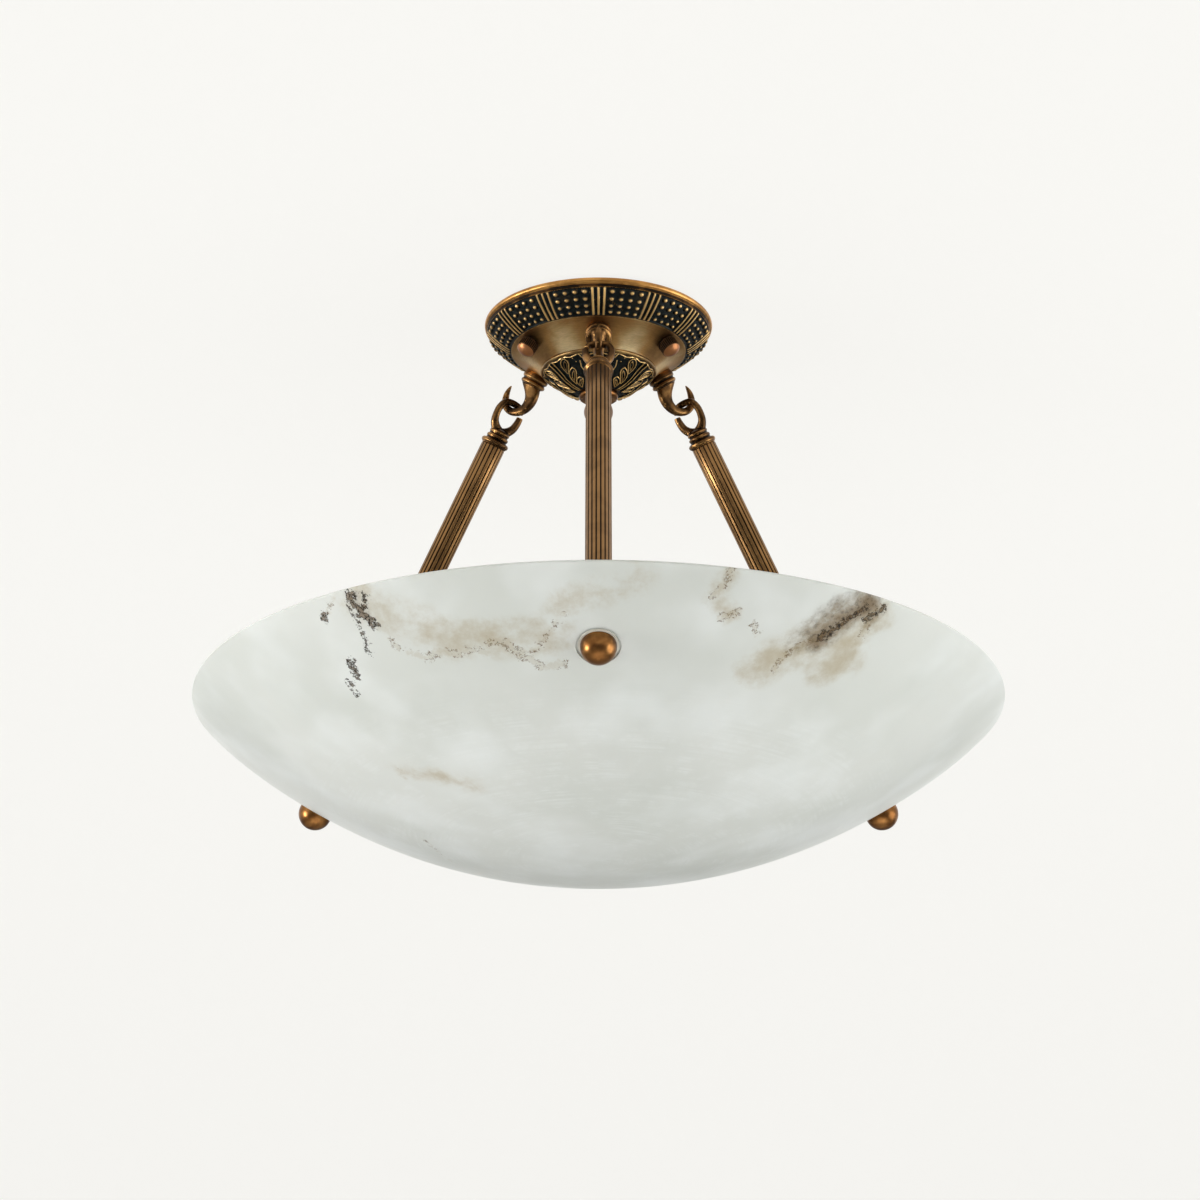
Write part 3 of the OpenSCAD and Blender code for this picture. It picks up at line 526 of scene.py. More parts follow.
@dataclass(frozen=True)
class AlabasterFinish(Finish):
    """Polished alabaster: cool white stone with clouds, tan stains, smoke and ragged dark veins."""

    stone: Colour = from_screen(220, 221, 215)
    cloud: Colour = from_screen(234, 236, 233)
    shade: Colour = from_screen(211, 213, 206)
    tan: Colour = from_screen(168, 148, 106)
    smoke: Colour = from_screen(106, 82, 50)
    ink: Colour = from_screen(34, 26, 17)
    streaks_from_m: float = -0.3
    streaks_full_m: float = -0.33

    @staticmethod
    def _bent(sheet: NodeSheet, place: Socket, scale: float, reach: float) -> Socket:
        """The position pushed about by noise.

        Args:
            sheet: The sheet to build on.
            place: The position.
            scale: The noise's scale.
            reach: How far points move, in millimetres.

        Returns:
            The bent position.
        """
        cloudy = sheet.noise(place, scale, 3.0, 0.6).outputs["Color"]
        push = sheet.vector("SUBTRACT", cloudy, (0.5, 0.5, 0.5)).outputs[0]
        moved = sheet.add("ShaderNodeVectorMath", {0: push, "Scale": reach * 2 * MM}, operation="SCALE")
        return sheet.vector("ADD", place, moved.outputs[0]).outputs[0]

    @staticmethod
    def _read(sheet: NodeSheet, trace: Trace) -> Socket:
        """A trace's field as the mesh holds it."""
        return sheet.add("ShaderNodeAttribute", attribute_name=trace.value).outputs["Fac"]

    @staticmethod
    def _eaten(sheet: NodeSheet, mask: object, noise: object, hold: float, soft: float,
               ragged: float = 3.4) -> tuple[object, object]:
        """A mask whose edge is eaten away by noise, and the thin coast along that edge.

        Args:
            sheet: The sheet to build on.
            mask: The mask.
            noise: The noise, about 0.5.
            hold: How high mask plus noise must be to show.
            soft: Softness of the edge.
            ragged: How strongly the noise eats.

        Returns:
            The eaten mask and its coast.
        """
        both = sheet.math("ADD", mask, sheet.times(sheet.math("SUBTRACT", noise, 0.5), ragged))
        inside = sheet.ramp(mask, 0.0, 0.3)
        shown = sheet.times(sheet.ramp(both, hold - soft, hold + soft), inside)
        off = sheet.math("ABSOLUTE", sheet.math("SUBTRACT", both, hold))
        return shown, sheet.times(sheet.ramp(off, 0.15, 0.04), inside)

    def _clouded(self, sheet: NodeSheet, place: Socket, broad: Socket, mid: Socket) -> Socket:
        """The stone with its clouds, and with turned streaks round its foot.

        Args:
            sheet: The sheet to build on.
            place: The position.
            broad: Broad noise.
            mid: Middling noise.

        Returns:
            The colour.
        """
        veil = sheet.noise(place, 22.0, 2.0, 0.45).outputs["Fac"]
        streaks = sheet.group("turned_lines", {"Position": place, "Lines": 420.0}).outputs["Streaks"]
        height = sheet.add("ShaderNodeSeparateXYZ", {0: place}).outputs[2]
        low = sheet.times(sheet.ramp(height, self.streaks_from_m, self.streaks_full_m), streaks)
        colour = sheet.mix(sheet.ramp(broad, 0.3, 0.66), self.shade, self.stone)
        colour = sheet.mix(sheet.times(sheet.ramp(veil, 0.4, 0.75), 0.6), colour, self.cloud)
        return sheet.mix(sheet.times(sheet.ramp(mid, 0.42, 0.66), low, 0.45), colour, self.cloud)

    def _stained(self, sheet: NodeSheet, colour: Socket, mid: Socket, fine: Socket) -> Socket:
        """Adds tan stains, and smoke that carries dark grains.

        Args:
            sheet: The sheet to build on.
            colour: The colour so far.
            mid: Middling noise.
            fine: Fine noise.

        Returns:
            The colour.
        """
        stain, _ = self._eaten(sheet, self._read(sheet, Trace.STAIN), mid, 0.5, 0.6, 2.2)
        colour = sheet.mix(sheet.math("MULTIPLY", stain, 0.66, clamp=True), colour, self.tan)
        smoke, _ = self._eaten(sheet, self._read(sheet, Trace.SMOKE), mid, 0.5, 0.6, 1.8)
        colour = sheet.mix(sheet.math("MULTIPLY", smoke, 0.8, clamp=True), colour, self.smoke)
        return sheet.mix(sheet.times(smoke, sheet.ramp(fine, 0.48, 0.6), 0.5), colour, self.ink)

    def _laced(self, sheet: NodeSheet, colour: Socket, fine: Socket, speck: Socket, patch: Socket) -> Socket:
        """Adds lacy veins: a faint tan body, a broken brown coast and dark flecks.

        Args:
            sheet: The sheet to build on.
            colour: The colour so far.
            fine: Fine noise.
            speck: Very fine noise.
            patch: Noise that breaks the veins into patches.

        Returns:
            The colour.
        """
        lace, shore = self._eaten(sheet, self._read(sheet, Trace.LACE), fine, 0.55, 0.3)
        colour = sheet.mix(sheet.times(lace, 0.22), colour, self.tan)
        broken = sheet.times(sheet.ramp(speck, 0.42, 0.52), sheet.ramp(patch, 0.46, 0.54))
        colour = sheet.mix(sheet.times(shore, broken), colour, self.smoke)
        flecks = sheet.times(lace, sheet.ramp(speck, 0.6, 0.66), sheet.ramp(patch, 0.5, 0.56))
        return sheet.mix(sheet.times(flecks, 0.8), colour, self.ink)

    def _build(self, sheet: NodeSheet, shader: bpy.types.Node) -> None:
        """Feeds the stone's colour, gloss and faint polish waves.

        Args:
            sheet: The material's nodes.
            shader: Its Principled BSDF.
        """
        place = sheet.position()
        broad = sheet.noise(self._bent(sheet, place, 5.0, 30.0), 9.0, 2.5, 0.45).outputs["Fac"]
        mid = sheet.noise(place, 60.0, 6.0, 0.66).outputs["Fac"]
        fine = sheet.noise(place, 300.0, 6.0, 0.74).outputs["Fac"]
        speck = sheet.noise(place, 560.0, 4.0, 0.7).outputs["Fac"]
        patch = sheet.noise(place, 140.0, 2.0, 0.5).outputs["Fac"]
        colour = self._clouded(sheet, place, broad, mid)
        colour = self._stained(sheet, colour, mid, fine)
        colour = self._laced(sheet, colour, fine, speck, patch)
        crack, edge = self._eaten(sheet, self._read(sheet, Trace.CRACK), fine, 0.6, 0.14)
        colour = sheet.mix(sheet.times(crack, 0.74), colour, self.smoke)
        inked = sheet.math("MAXIMUM", edge, sheet.times(crack, sheet.ramp(speck, 0.5, 0.56)))
        colour = sheet.mix(sheet.times(inked, 0.97), colour, self.ink)
        sheet.feed(shader.inputs["Base Color"], colour)
        sheet.feed(shader.inputs["Roughness"], sheet.ramp(crack, 0.0, 1.0, 0.3, 0.55))
        shader.inputs["Specular IOR Level"].default_value = 0.3
        shader.inputs["Subsurface Weight"].default_value = 0.15
        shader.inputs["Subsurface Radius"].default_value = (0.012, 0.011, 0.010)
        shader.inputs["Subsurface Scale"].default_value = 0.5
        dents = sheet.math("SUBTRACT", sheet.times(broad, 0.3), sheet.times(crack, 0.3))
        bump = sheet.add("ShaderNodeBump", {"Strength": 0.2, "Distance": 0.0006, "Height": dents})
        sheet.feed(shader.inputs["Normal"], bump.outputs["Normal"])


@dataclass(frozen=True)
class BowlShape:
    """The bowl's wall, by radius, as the CAD turns it."""

    drop: float = 258.5
    height_over_all: float = 102.0
    rise: float = 100.5
    flare: float = 2.9
    belly: float = 2.19
    radius: float = 250.0
    wall: float = 12.0
    rim_round: float = 1.5
    flare_power: int = 21

    def height(self, r: float) -> float:
        """Height of the outside at a radius."""
        share = r / self.radius
        return (-self.drop - self.height_over_all + (self.rise - self.flare) * share ** self.belly
                + self.flare * share ** self.flare_power)

    def slope(self, r: float) -> float:
        """Slope of the outside at a radius, in radians."""
        share = r / self.radius
        return math.atan((self.rise - self.flare) * self.belly / self.radius * share ** (self.belly - 1)
                         + self.flare * self.flare_power / self.radius * share ** (self.flare_power - 1))

    def inside(self, r: float) -> tuple[float, float]:
        """The inside point square to the outside at a radius."""
        lean = self.slope(r)
        return r - self.wall * math.sin(lean), self.height(r) + self.wall * math.cos(lean)

    def on_outside(self, azimuth: float, r: float) -> tuple[float, float, float]:
        """The point on the outside at an azimuth and radius, in millimetres."""
        turn = math.radians(azimuth)
        return r * math.sin(turn), -r * math.cos(turn), self.height(r)


class Finishes(Enum):
    """Every finish on the light."""

    FIELD = BrassFinish("patinated_canopy_brass", "patinated_brass", reads_crest=True, edge=0.25, spread=0.2,
                        bright=from_screen(232, 190, 124), dark=from_screen(36, 40, 40),
                        tone=from_screen(108, 84, 54), rough_bright=0.32, rough_dark=0.42, bump=0.2)
    # the band's crest is a painted highlight, so its bright colour lies where that painted highlight falls
    BAND = BrassFinish("brushed_band_brass", "patinated_brass", reads_crest=True, edge=0.1, spread=0.1,
                       bright=from_screen(254, 226, 176), dark=from_screen(84, 62, 40),
                       tone=from_screen(190, 144, 90), rough_bright=0.36, rough_dark=0.4, bump=0.1,
                       brushed=0.65, grained=0.7)
    RIM = BrassFinish("rim_bead_brass", "patinated_brass", reads_crest=True, edge=0.2, spread=0.3,
                      bright=from_screen(204, 150, 84), dark=from_screen(34, 27, 20),
                      tone=from_screen(140, 96, 50), rough_bright=0.3, grained=0.5)
    CAST = BrassFinish("cast_hook_brass", "cast_brass", crest=0.44, edge=1.1, spread=0.5,
                       bright=from_screen(182, 136, 82), dark=from_screen(32, 24, 16),
                       tone=from_screen(100, 71, 42), rough_bright=0.3, rough_dark=0.4, bump=0.2)
    REEDED = BrassFinish("reeded_rod_brass", "reeded_brass", reads_crest=True, edge=0.1, spread=0.22,
                         bright=from_screen(152, 114, 72), dark=from_screen(22, 17, 12),
                         tone=from_screen(92, 68, 42), rough_bright=0.34, rough_dark=0.5, bump=0.12,
                         blotch=60.0)
    POLISHED = BrassFinish("polished_knob_brass", "polished_brass", crest=0.62, edge=0.1, spread=0.3,
                           bright=from_screen(170, 120, 68), dark=from_screen(58, 38, 20),
                           tone=from_screen(116, 76, 40), rough_bright=0.27, rough_dark=0.34, bump=0.05)
    SCREW = BrassFinish("cap_screw_brass", "patinated_brass", reads_crest=True, edge=0.3, spread=0.2,
                        bright=from_screen(172, 116, 76), dark=from_screen(34, 29, 24),
                        tone=from_screen(88, 65, 44), rough_bright=0.4, rough_dark=0.5)
    PLAIN_BRASS = BrassFinish("turned_lamp_brass", "plain_brass", crest=0.75, edge=0.2, spread=0.3,
                              bright=from_screen(200, 156, 88), dark=from_screen(100, 70, 34),
                              tone=from_screen(166, 120, 62), rough_bright=0.25, rough_dark=0.4, bump=0.06)
    ZINC = PlainFinish("zinc_plate", "galvanised_steel", colour=(0.58, 0.6, 0.62), metallic=1.0, rough=0.38)
    STEEL = PlainFinish("plain_steel_parts", "plain_steel", colour=(0.5, 0.5, 0.5), metallic=1.0, rough=0.32)
    NICKEL = PlainFinish("nickel_bulb_cap", "nickel", colour=(0.66, 0.64, 0.6), metallic=1.0, rough=0.22)
    WHITE_PLASTIC = PlainFinish("terminal_plastic", "white_plastic", colour=(0.8, 0.79, 0.75), rough=0.35)
    WASHER = PlainFinish("pale_washer_ring", "pale_washer", colour=from_screen(226, 222, 208), rough=0.5)
    PORCELAIN = PlainFinish("lampholder_porcelain", "white_porcelain", colour=(0.8, 0.79, 0.75), rough=0.16)
    BULB = PlainFinish("frosted_bulb_glass", "frosted_glass", colour=(0.86, 0.86, 0.84), rough=0.34,
                       shade=0.96)
    ALABASTER = AlabasterFinish("veined_alabaster", "alabaster")


# The main traces on the bowl; each place is an azimuth in degrees and a radius
VEINS = (
    Vein(Trace.CRACK, ((-35, 248), (-35.4, 243), (-34.5, 239), (-33.6, 232)), 5.6),
    Vein(Trace.CRACK, ((-32.8, 246), (-34.3, 240)), 4.4, 0.9),
    Vein(Trace.CRACK, ((-35.7, 240), (-36.2, 230), (-36.4, 225), (-37.2, 218)), 3.6, 0.75),
    Vein(Trace.CRACK, ((-41.2, 218), (-42.2, 208)), 4.8, 0.95),
    Vein(Trace.CRACK, ((-44.3, 207), (-45, 199)), 4.2, 0.8),
    Vein(Trace.CRACK, ((-41.1, 240), (-40.5, 243)), 4.0, 0.9),
    Vein(Trace.CRACK, ((35.9, 232), (35, 228), (34.4, 225)), 5.2, 0.95),
    Vein(Trace.CRACK, ((38.8, 246), (38.4, 243), (37.4, 239), (36, 233)), 3.6, 0.9),
    Vein(Trace.CRACK, ((41.7, 247), (40.8, 243), (39.8, 240)), 4.2, 0.9),
    Vein(Trace.LACE, ((-39.9, 243), (-37.9, 248)), 3.0, 0.7),
    Vein(Trace.LACE, ((-32.3, 223), (-31.9, 218)), 3.4, 0.9),
    Vein(Trace.LACE, ((-30.4, 214), (-28, 209), (-25.2, 212), (-22.6, 209), (-20.4, 210), (-18.1, 208)),
         4.4, 0.95),
    Vein(Trace.LACE, ((-16.9, 213), (-14.4, 213), (-12.6, 204), (-10.9, 201), (-9.5, 196), (-6, 198)),
         5.0, 0.95),
    Vein(Trace.LACE, ((-13, 207), (-10, 206), (-8, 214), (-5, 226)), 4.0, 0.6),
    Vein(Trace.LACE, ((17.4, 250), (17.2, 245), (15.8, 236)), 3.6, 0.9),
    Vein(Trace.LACE, ((17.9, 227), (20, 231)), 4.2, 0.95),
    Vein(Trace.LACE, ((22.8, 226), (24.3, 221)), 3.8, 0.75),
    Vein(Trace.LACE, ((34, 224), (31.5, 219), (29.8, 209), (29.9, 203)), 3.2, 0.8),
    Vein(Trace.LACE, ((41.2, 250), (41.9, 247), (40.2, 242), (40.9, 232), (40.9, 228)), 4.4, 0.95),
    Vein(Trace.LACE, ((-53.1, 147), (-55.1, 139)), 3.0, 0.6),
    Vein(Trace.LACE, ((-90, 106), (-102, 101), (-114, 99)), 3.4, 0.5),
    Vein(Trace.STAIN, ((-34, 244), (-26, 226), (-22.6, 216), (-17.8, 216), (-10.3, 214), (-7.2, 214)),
         20, 0.62),
    Vein(Trace.STAIN, ((-7.2, 212), (-4.5, 232), (5, 243)), 17, 0.45),
    Vein(Trace.STAIN, ((17.2, 246), (16, 236), (19, 229)), 10, 0.6),
    Vein(Trace.STAIN, ((38, 240), (34, 226), (30, 212), (27, 203)), 20, 0.85),
    Vein(Trace.STAIN, ((41, 240), (39, 224), (38.5, 212), (41, 218)), 20, 0.8),
    Vein(Trace.STAIN, ((-53, 147), (-46, 136), (-39, 120)), 16, 0.35),
    Vein(Trace.SMOKE, ((38.9, 247), (37.4, 241), (35.6, 233), (34, 224)), 13, 0.95),
    Vein(Trace.SMOKE, ((36.5, 249), (34.5, 242), (33, 234), (31, 220)), 13, 0.55),
    Vein(Trace.SMOKE, ((41.5, 246), (40.6, 236)), 7, 0.5),
    Vein(Trace.SMOKE, ((-34.6, 246), (-34.2, 238)), 7, 0.55),
)


@dataclass
class Band:
    """One stretch of a turned outline, with the relief raised on it."""

    points: list[tuple[float, float]]
    step: float = 4.0
    relief: Optional[Relief] = None
    crest: float = 0.7


@dataclass
class Turned:
    """A piece turned round its own +Z.

    Its outline runs from its top down with the piece on its left hand. TINY keeps a length from being
    nothing, and SAME is how near two outline points must lie to be one.
    """

    TINY = 1e-9
    SAME = 1e-6

    name: str
    bands: list[Band]
    columns: int = 96
    closed: bool = True
    sharp: float = 40.0

    @staticmethod
    def _dense(points: Sequence[Point], step: float) -> Grid:
        """Puts more points on a line.

        Args:
            points: The line.
            step: How far apart points may be.

        Returns:
            The same line with more points.
        """
        out = [np.array(points[0], float)]
        for a, b in zip(points, points[1:]):
            a, b = np.array(a, float), np.array(b, float)
            count = max(1, math.ceil(np.linalg.norm(b - a) / step - Turned.SAME))
            out += [a + (b - a) * k / count for k in range(1, count + 1)]
        return np.array(out)

    def _rows(self) -> tuple[Grid, Grid, Grid]:
        """Works out every row of the piece.

        Returns:
            Each row's radius and height, and the relief and crest of each of its points.
        """
        angle = 2 * np.pi * np.arange(self.columns) / self.columns
        lines, raised, crests = [], [], []
        for band in self.bands:
            line = self._dense(band.points, band.step)
            length = np.concatenate([[0.0], np.cumsum(np.linalg.norm(np.diff(line, axis=0), axis=1))])
            share = length / max(length[-1], self.TINY)
            grid = np.broadcast_to(angle, (len(line), self.columns))
            if band.relief:
                rise, crest = band.relief(grid, share[:, None], line[:, :1])
            else:
                rise, crest = np.zeros(grid.shape), np.full(grid.shape, band.crest)
            first = 1 if lines and np.allclose(lines[-1][-1], line[0], atol=self.SAME) else 0
            lines.append(line[first:])
            raised.append(rise[first:])
            crests.append(crest[first:])
        return np.concatenate(lines), np.concatenate(raised), np.concatenate(crests)

    def build(self, place: Matrix) -> bpy.types.Object:
        """Makes the mesh.

        Args:
            place: Where the piece's own frame lies, in millimetres.

        Returns:
            The new object, with a crest value at each point.
        """
        line, rise, crest = self._rows()
        ahead = np.roll(line, -1, axis=0) if self.closed else np.vstack([line[1:], 2 * line[-1] - line[-2]])
        behind = np.roll(line, 1, axis=0) if self.closed else np.vstack([2 * line[0] - line[1], line[:-1]])
        way = ahead - behind
        way /= np.maximum(np.linalg.norm(way, axis=1, keepdims=True), self.TINY)
        radius = line[:, :1] - way[:, 1:] * rise
        height = line[:, 1:] + way[:, :1] * rise
        angle = 2 * np.pi * np.arange(self.columns) / self.columns
        parts = [radius * np.sin(angle), -radius * np.cos(angle), height * np.ones(self.columns)]
        spots = np.stack(parts, -1).reshape(-1, 3)
        rows = len(line)
        row = np.arange(rows if self.closed else rows - 1)[:, None]
        column = np.arange(self.columns)[None, :]
        below, beside = (row + 1) % rows, (column + 1) % self.columns
        faces = np.stack([row * self.columns + column, below * self.columns + column,
                          below * self.columns + beside, row * self.columns + beside], -1).reshape(-1, 4)
        return new_piece(self.name, spots, faces.tolist(), place, self.sharp, crest.reshape(-1))


def new_piece(name: str, spots: Grid, faces: list, place: Matrix, sharp: float,
              crest: Optional[Grid] = None) -> bpy.types.Object:
    """Makes a mesh object from points in millimetres.

    Args:
        name: The piece's name.
        spots: The points.
        faces: Lists of point numbers.
        place: Where the points' frame lies, in millimetres.
        sharp: Angle in degrees above which an edge stays sharp.
        crest: A crest value for each point.

    Returns:
        The object, linked to the scene.
    """
    turn = np.array(place.to_3x3())
    world = (spots @ turn.T + np.array(place.translation)) * MM
    mesh = bpy.data.meshes.new(name)
    mesh.from_pydata(world.tolist(), [], faces)
    if crest is not None:
        mesh.attributes.new(CREST, "FLOAT", "POINT").data.foreach_set("value", crest.astype(np.float32))
    work = bmesh.new()
    work.from_mesh(mesh)
    bmesh.ops.remove_doubles(work, verts=work.verts, dist=2e-6)
    work.to_mesh(mesh)
    work.free()
    mesh.shade_smooth()
    mesh.set_sharp_from_angle(angle=math.radians(sharp))
    piece = bpy.data.objects.new(name, mesh)
    bpy.context.scene.collection.objects.link(piece)
    return piece


def arc(p: Point, q: Point, turn: float, off: float = 0.0, steps: int = 8) -> list[Point]:
    """Points on an arc from p to q that turns by turn degrees.

    Args:
        p: First point.
        q: Last point.
        turn: Degrees turned to the left on the way.
        off: How far the arc is moved to its right.
        steps: Number of straight steps.

    Returns:
        The points.
    """
    dx, dy = q[0] - p[0], q[1] - p[1]
    radius = math.hypot(dx, dy) / (2 * math.sin(math.radians(turn / 2)))
    start = math.atan2(dy, dx) - math.radians(turn / 2)
    cx, cy = p[0] - radius * math.sin(start), p[1] + radius * math.cos(start)
    out = []
    for k in range(steps + 1):
        a = start + math.radians(turn) * k / steps
        out.append((cx + (radius + off) * math.sin(a), cy - (radius + off) * math.cos(a)))
    return out


def on_tilt(azimuth: float, r: float, depth: float, tilt: float) -> Matrix:
    """A frame at a radius and depth whose +Z points down and outwards.

    Args:
        azimuth: Place round the light, in degrees.
        r: Radius.
        depth: Depth below the ceiling.
        tilt: Tilt of +Z from straight down, in degrees.

    Returns:
        The frame, in millimetres.
    """
    return (Matrix.Rotation(math.radians(azimuth), 4, "Z") @ Matrix.Translation((0, -r, -depth))
            @ Matrix.Rotation(math.radians(180 - tilt), 4, "X"))


def finish_piece(piece: bpy.types.Object, finish: Finishes, body: Body, *stands_for: str) -> bpy.types.Object:
    """Dresses a new piece and sets what it rides on and stands for.

    Args:
        piece: The new object.
        finish: Its finish.
        body: The body it rides on.
        *stands_for: CAD nodes it takes the place of.

    Returns:
        The piece.
    """
    piece.data.materials.clear()
    piece.data.materials.append(finish.value.material())
    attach(piece, body.value)
    if stands_for:
        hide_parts(*stands_for)
    log.info("%s: %d points, on %s", piece.name, len(piece.data.vertices), body.value)
    return piece


def dress_node(node: str, finish: Finishes) -> None:
    """Gives a CAD node its finish.

    Args:
        node: The node's name.
        finish: Its finish.
    """
    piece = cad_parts[node]
    if not piece.material_slots:
        piece.data.materials.append(finish.value.material())
    for holder in piece.material_slots:
        holder.material = finish.value.material()
    log.info("%s: dressed as %s", node, finish.value.name)


def ridge(distance: Grid, half: float) -> Grid:
    """A round ridge: 1 on its line and 0 beyond half its width."""
    return np.sqrt(np.clip(1 - (distance / half) ** 2, 0, 1))


def faded(share: Grid, reach: float) -> Grid:
    """1 along a stretch, falling to 0 over a share of it at each end."""
    return np.clip(np.minimum(share, 1 - share) / reach, 0, 1)


def from_nearest(angle: Grid, pitch: float) -> Grid:
    """Degrees from the nearest multiple of a pitch."""
    return (np.degrees(angle) + pitch / 2) % pitch - pitch / 2


@dataclass
class CanopyDish:
    """The dish: rim bead, a dark field of ribs and beads, and a plain brushed band."""

    rim_r: float = 73.5
    rim_back: Point = (68.3, -7.0)
    field_out: Point = (70.8, -7.8)
    field_in: Point = (56.1, -20.5)
    field_turn: float = -20.0
    field_length: float = 19.6
    band_out: Point = (55.5, -20.8)
    band_in: Point = (37.0, -34.2)
    band_turn: float = 25.0
    inner_r: float = 30.0
    wall: float = 2.0
    panels: int = 12
    rib_pitch: float = 3.16
    rib_half: float = 1.05
    rib_rise: float = 0.85
    bead_pitch: float = 5.2
    bead_rows: tuple[float, ...] = (0.14, 0.39, 0.63, 0.86)
    bead_columns: tuple[float, ...] = (-1.5, -0.5, 0.5, 1.5)
    bead_out: float = 1.75
    bead_in: float = 1.3
    bead_width: float = 1.12
    fade: float = 0.035
    fittings: int = 6
    columns: int = 1440
    plain_columns: int = 360

    def _field(self, angle: Grid, share: Grid, radius: Grid) -> Raised:
        """Raises ribs and domed beads over a sunk field.

        Args:
            angle: Azimuth of each point, in radians.
            share: How far each row is from the field's outer edge, 0 to 1.
            radius: Radius of each row.

        Returns:
            Height and crest of each point.
        """
        panel = 360 / self.panels
        turned = from_nearest(angle, panel)
        edge = faded(share, self.fade)
        rise = np.full(angle.shape, -SINK) * edge
        crest = np.full(angle.shape, 0.02)
        for k in (-1, 0, 1):
            across = np.radians(turned - k * self.rib_pitch) * radius
            line = ridge(across, self.rib_half)
            rise = np.maximum(rise, line * self.rib_rise * edge - SINK * (1 - line) * edge)
            crest = np.maximum(crest, np.clip(line * 2.4 - 1.4, 0, 1) * (0.4 + 0.6 * edge))
        middle = (np.degrees(angle)) % panel - panel / 2
        for row in self.bead_rows:
            size = self.bead_out + (self.bead_in - self.bead_out) * row
            for k in self.bead_columns:
                across = np.radians(middle - k * self.bead_pitch) * radius
                along = (share - row) * self.field_length
                far = np.hypot(across / self.bead_width, along)
                dome = ridge(far, size)
                rise = np.where(far < size, -SINK + dome * size, rise)
                crest = np.where(far < size, np.clip(dome * 2.6 - 1.55, 0.05, 1), crest)
        return rise, crest

    def _painted_highlight(self, angle: Grid, share: Grid, radius: Grid) -> Raised:
        """Leaves the band smooth, and paints a highlight into its crest, brightest midway between hooks and
        screws and towards the cup.

        Args:
            angle: Azimuth of each point, in radians.
            share: How far each row is from the band's outer edge, 0 to 1.
            radius: Radius of each row; not used.

        Returns:
            Height and crest of each point; the crest is a painted highlight.
        """
        # painted highlight: six bright lobes between the fittings, growing stronger towards the cup
        highlight_share = (0.5 - 0.5 * np.cos(angle * self.fittings)) ** 1.5
        return np.zeros(angle.shape), 0.3 + (0.25 + 0.45 * share) * highlight_share

    def build(self) -> None:
        """Makes the dish as three joined parts that stand for the CAD dish."""
        bead = arc((self.rim_r - 2.7, -1.5), (self.rim_r - 2.1, -5.5), -150, 0, 18)
        neck = (self.rim_r - 2.5, self.field_out[1] + 1.4)
        recess = (self.rim_r - 6.8, 0.0)
        field_line = arc(self.field_out, self.field_in, self.field_turn, 0, 24)
        band_line = arc(self.band_out, self.band_in, self.band_turn, 0, 24)
        inner = [(p, q) for p, q in reversed(arc(self.band_out, self.band_in, self.band_turn, self.wall, 8))
                 if q > self.band_in[1] + self.wall]
        under = list(reversed(arc(self.field_out, self.field_in, self.field_turn, self.wall, 8)))
        hub = [(self.inner_r, self.band_in[1]), (self.inner_r, self.band_in[1] + self.wall)]
        rim = [Band([recess, bead[0]], 0.5, crest=0.15), Band(bead, 0.4, crest=0.8),
               Band([bead[-1], neck, self.field_out], 0.6, crest=0.05),
               Band([self.field_out, self.rim_back, recess], 8.0, crest=0.3)]
        carved = [Band(field_line, 0.36, self._field), Band([field_line[-1], self.band_out], 0.3, crest=0.4),
                  Band([self.band_out] + under + [self.field_out], 8.0)]
        # the plain band's crest is a painted highlight
        plain = [Band(band_line, 0.8, self._painted_highlight),
                 Band([band_line[-1]] + hub + inner + [self.band_out], 8.0)]
        parts = ((Turned("canopy_rim_bead", rim, self.plain_columns), Finishes.RIM),
                 (Turned("canopy_ornament_field", carved, self.columns, sharp=70.0), Finishes.FIELD),
                 (Turned("canopy_plain_band", plain, self.plain_columns), Finishes.BAND))
        for turned, finish in parts:
            finish_piece(turned.build(Matrix.Identity(4)), finish, Body.CANOPY, "canopy_dish")


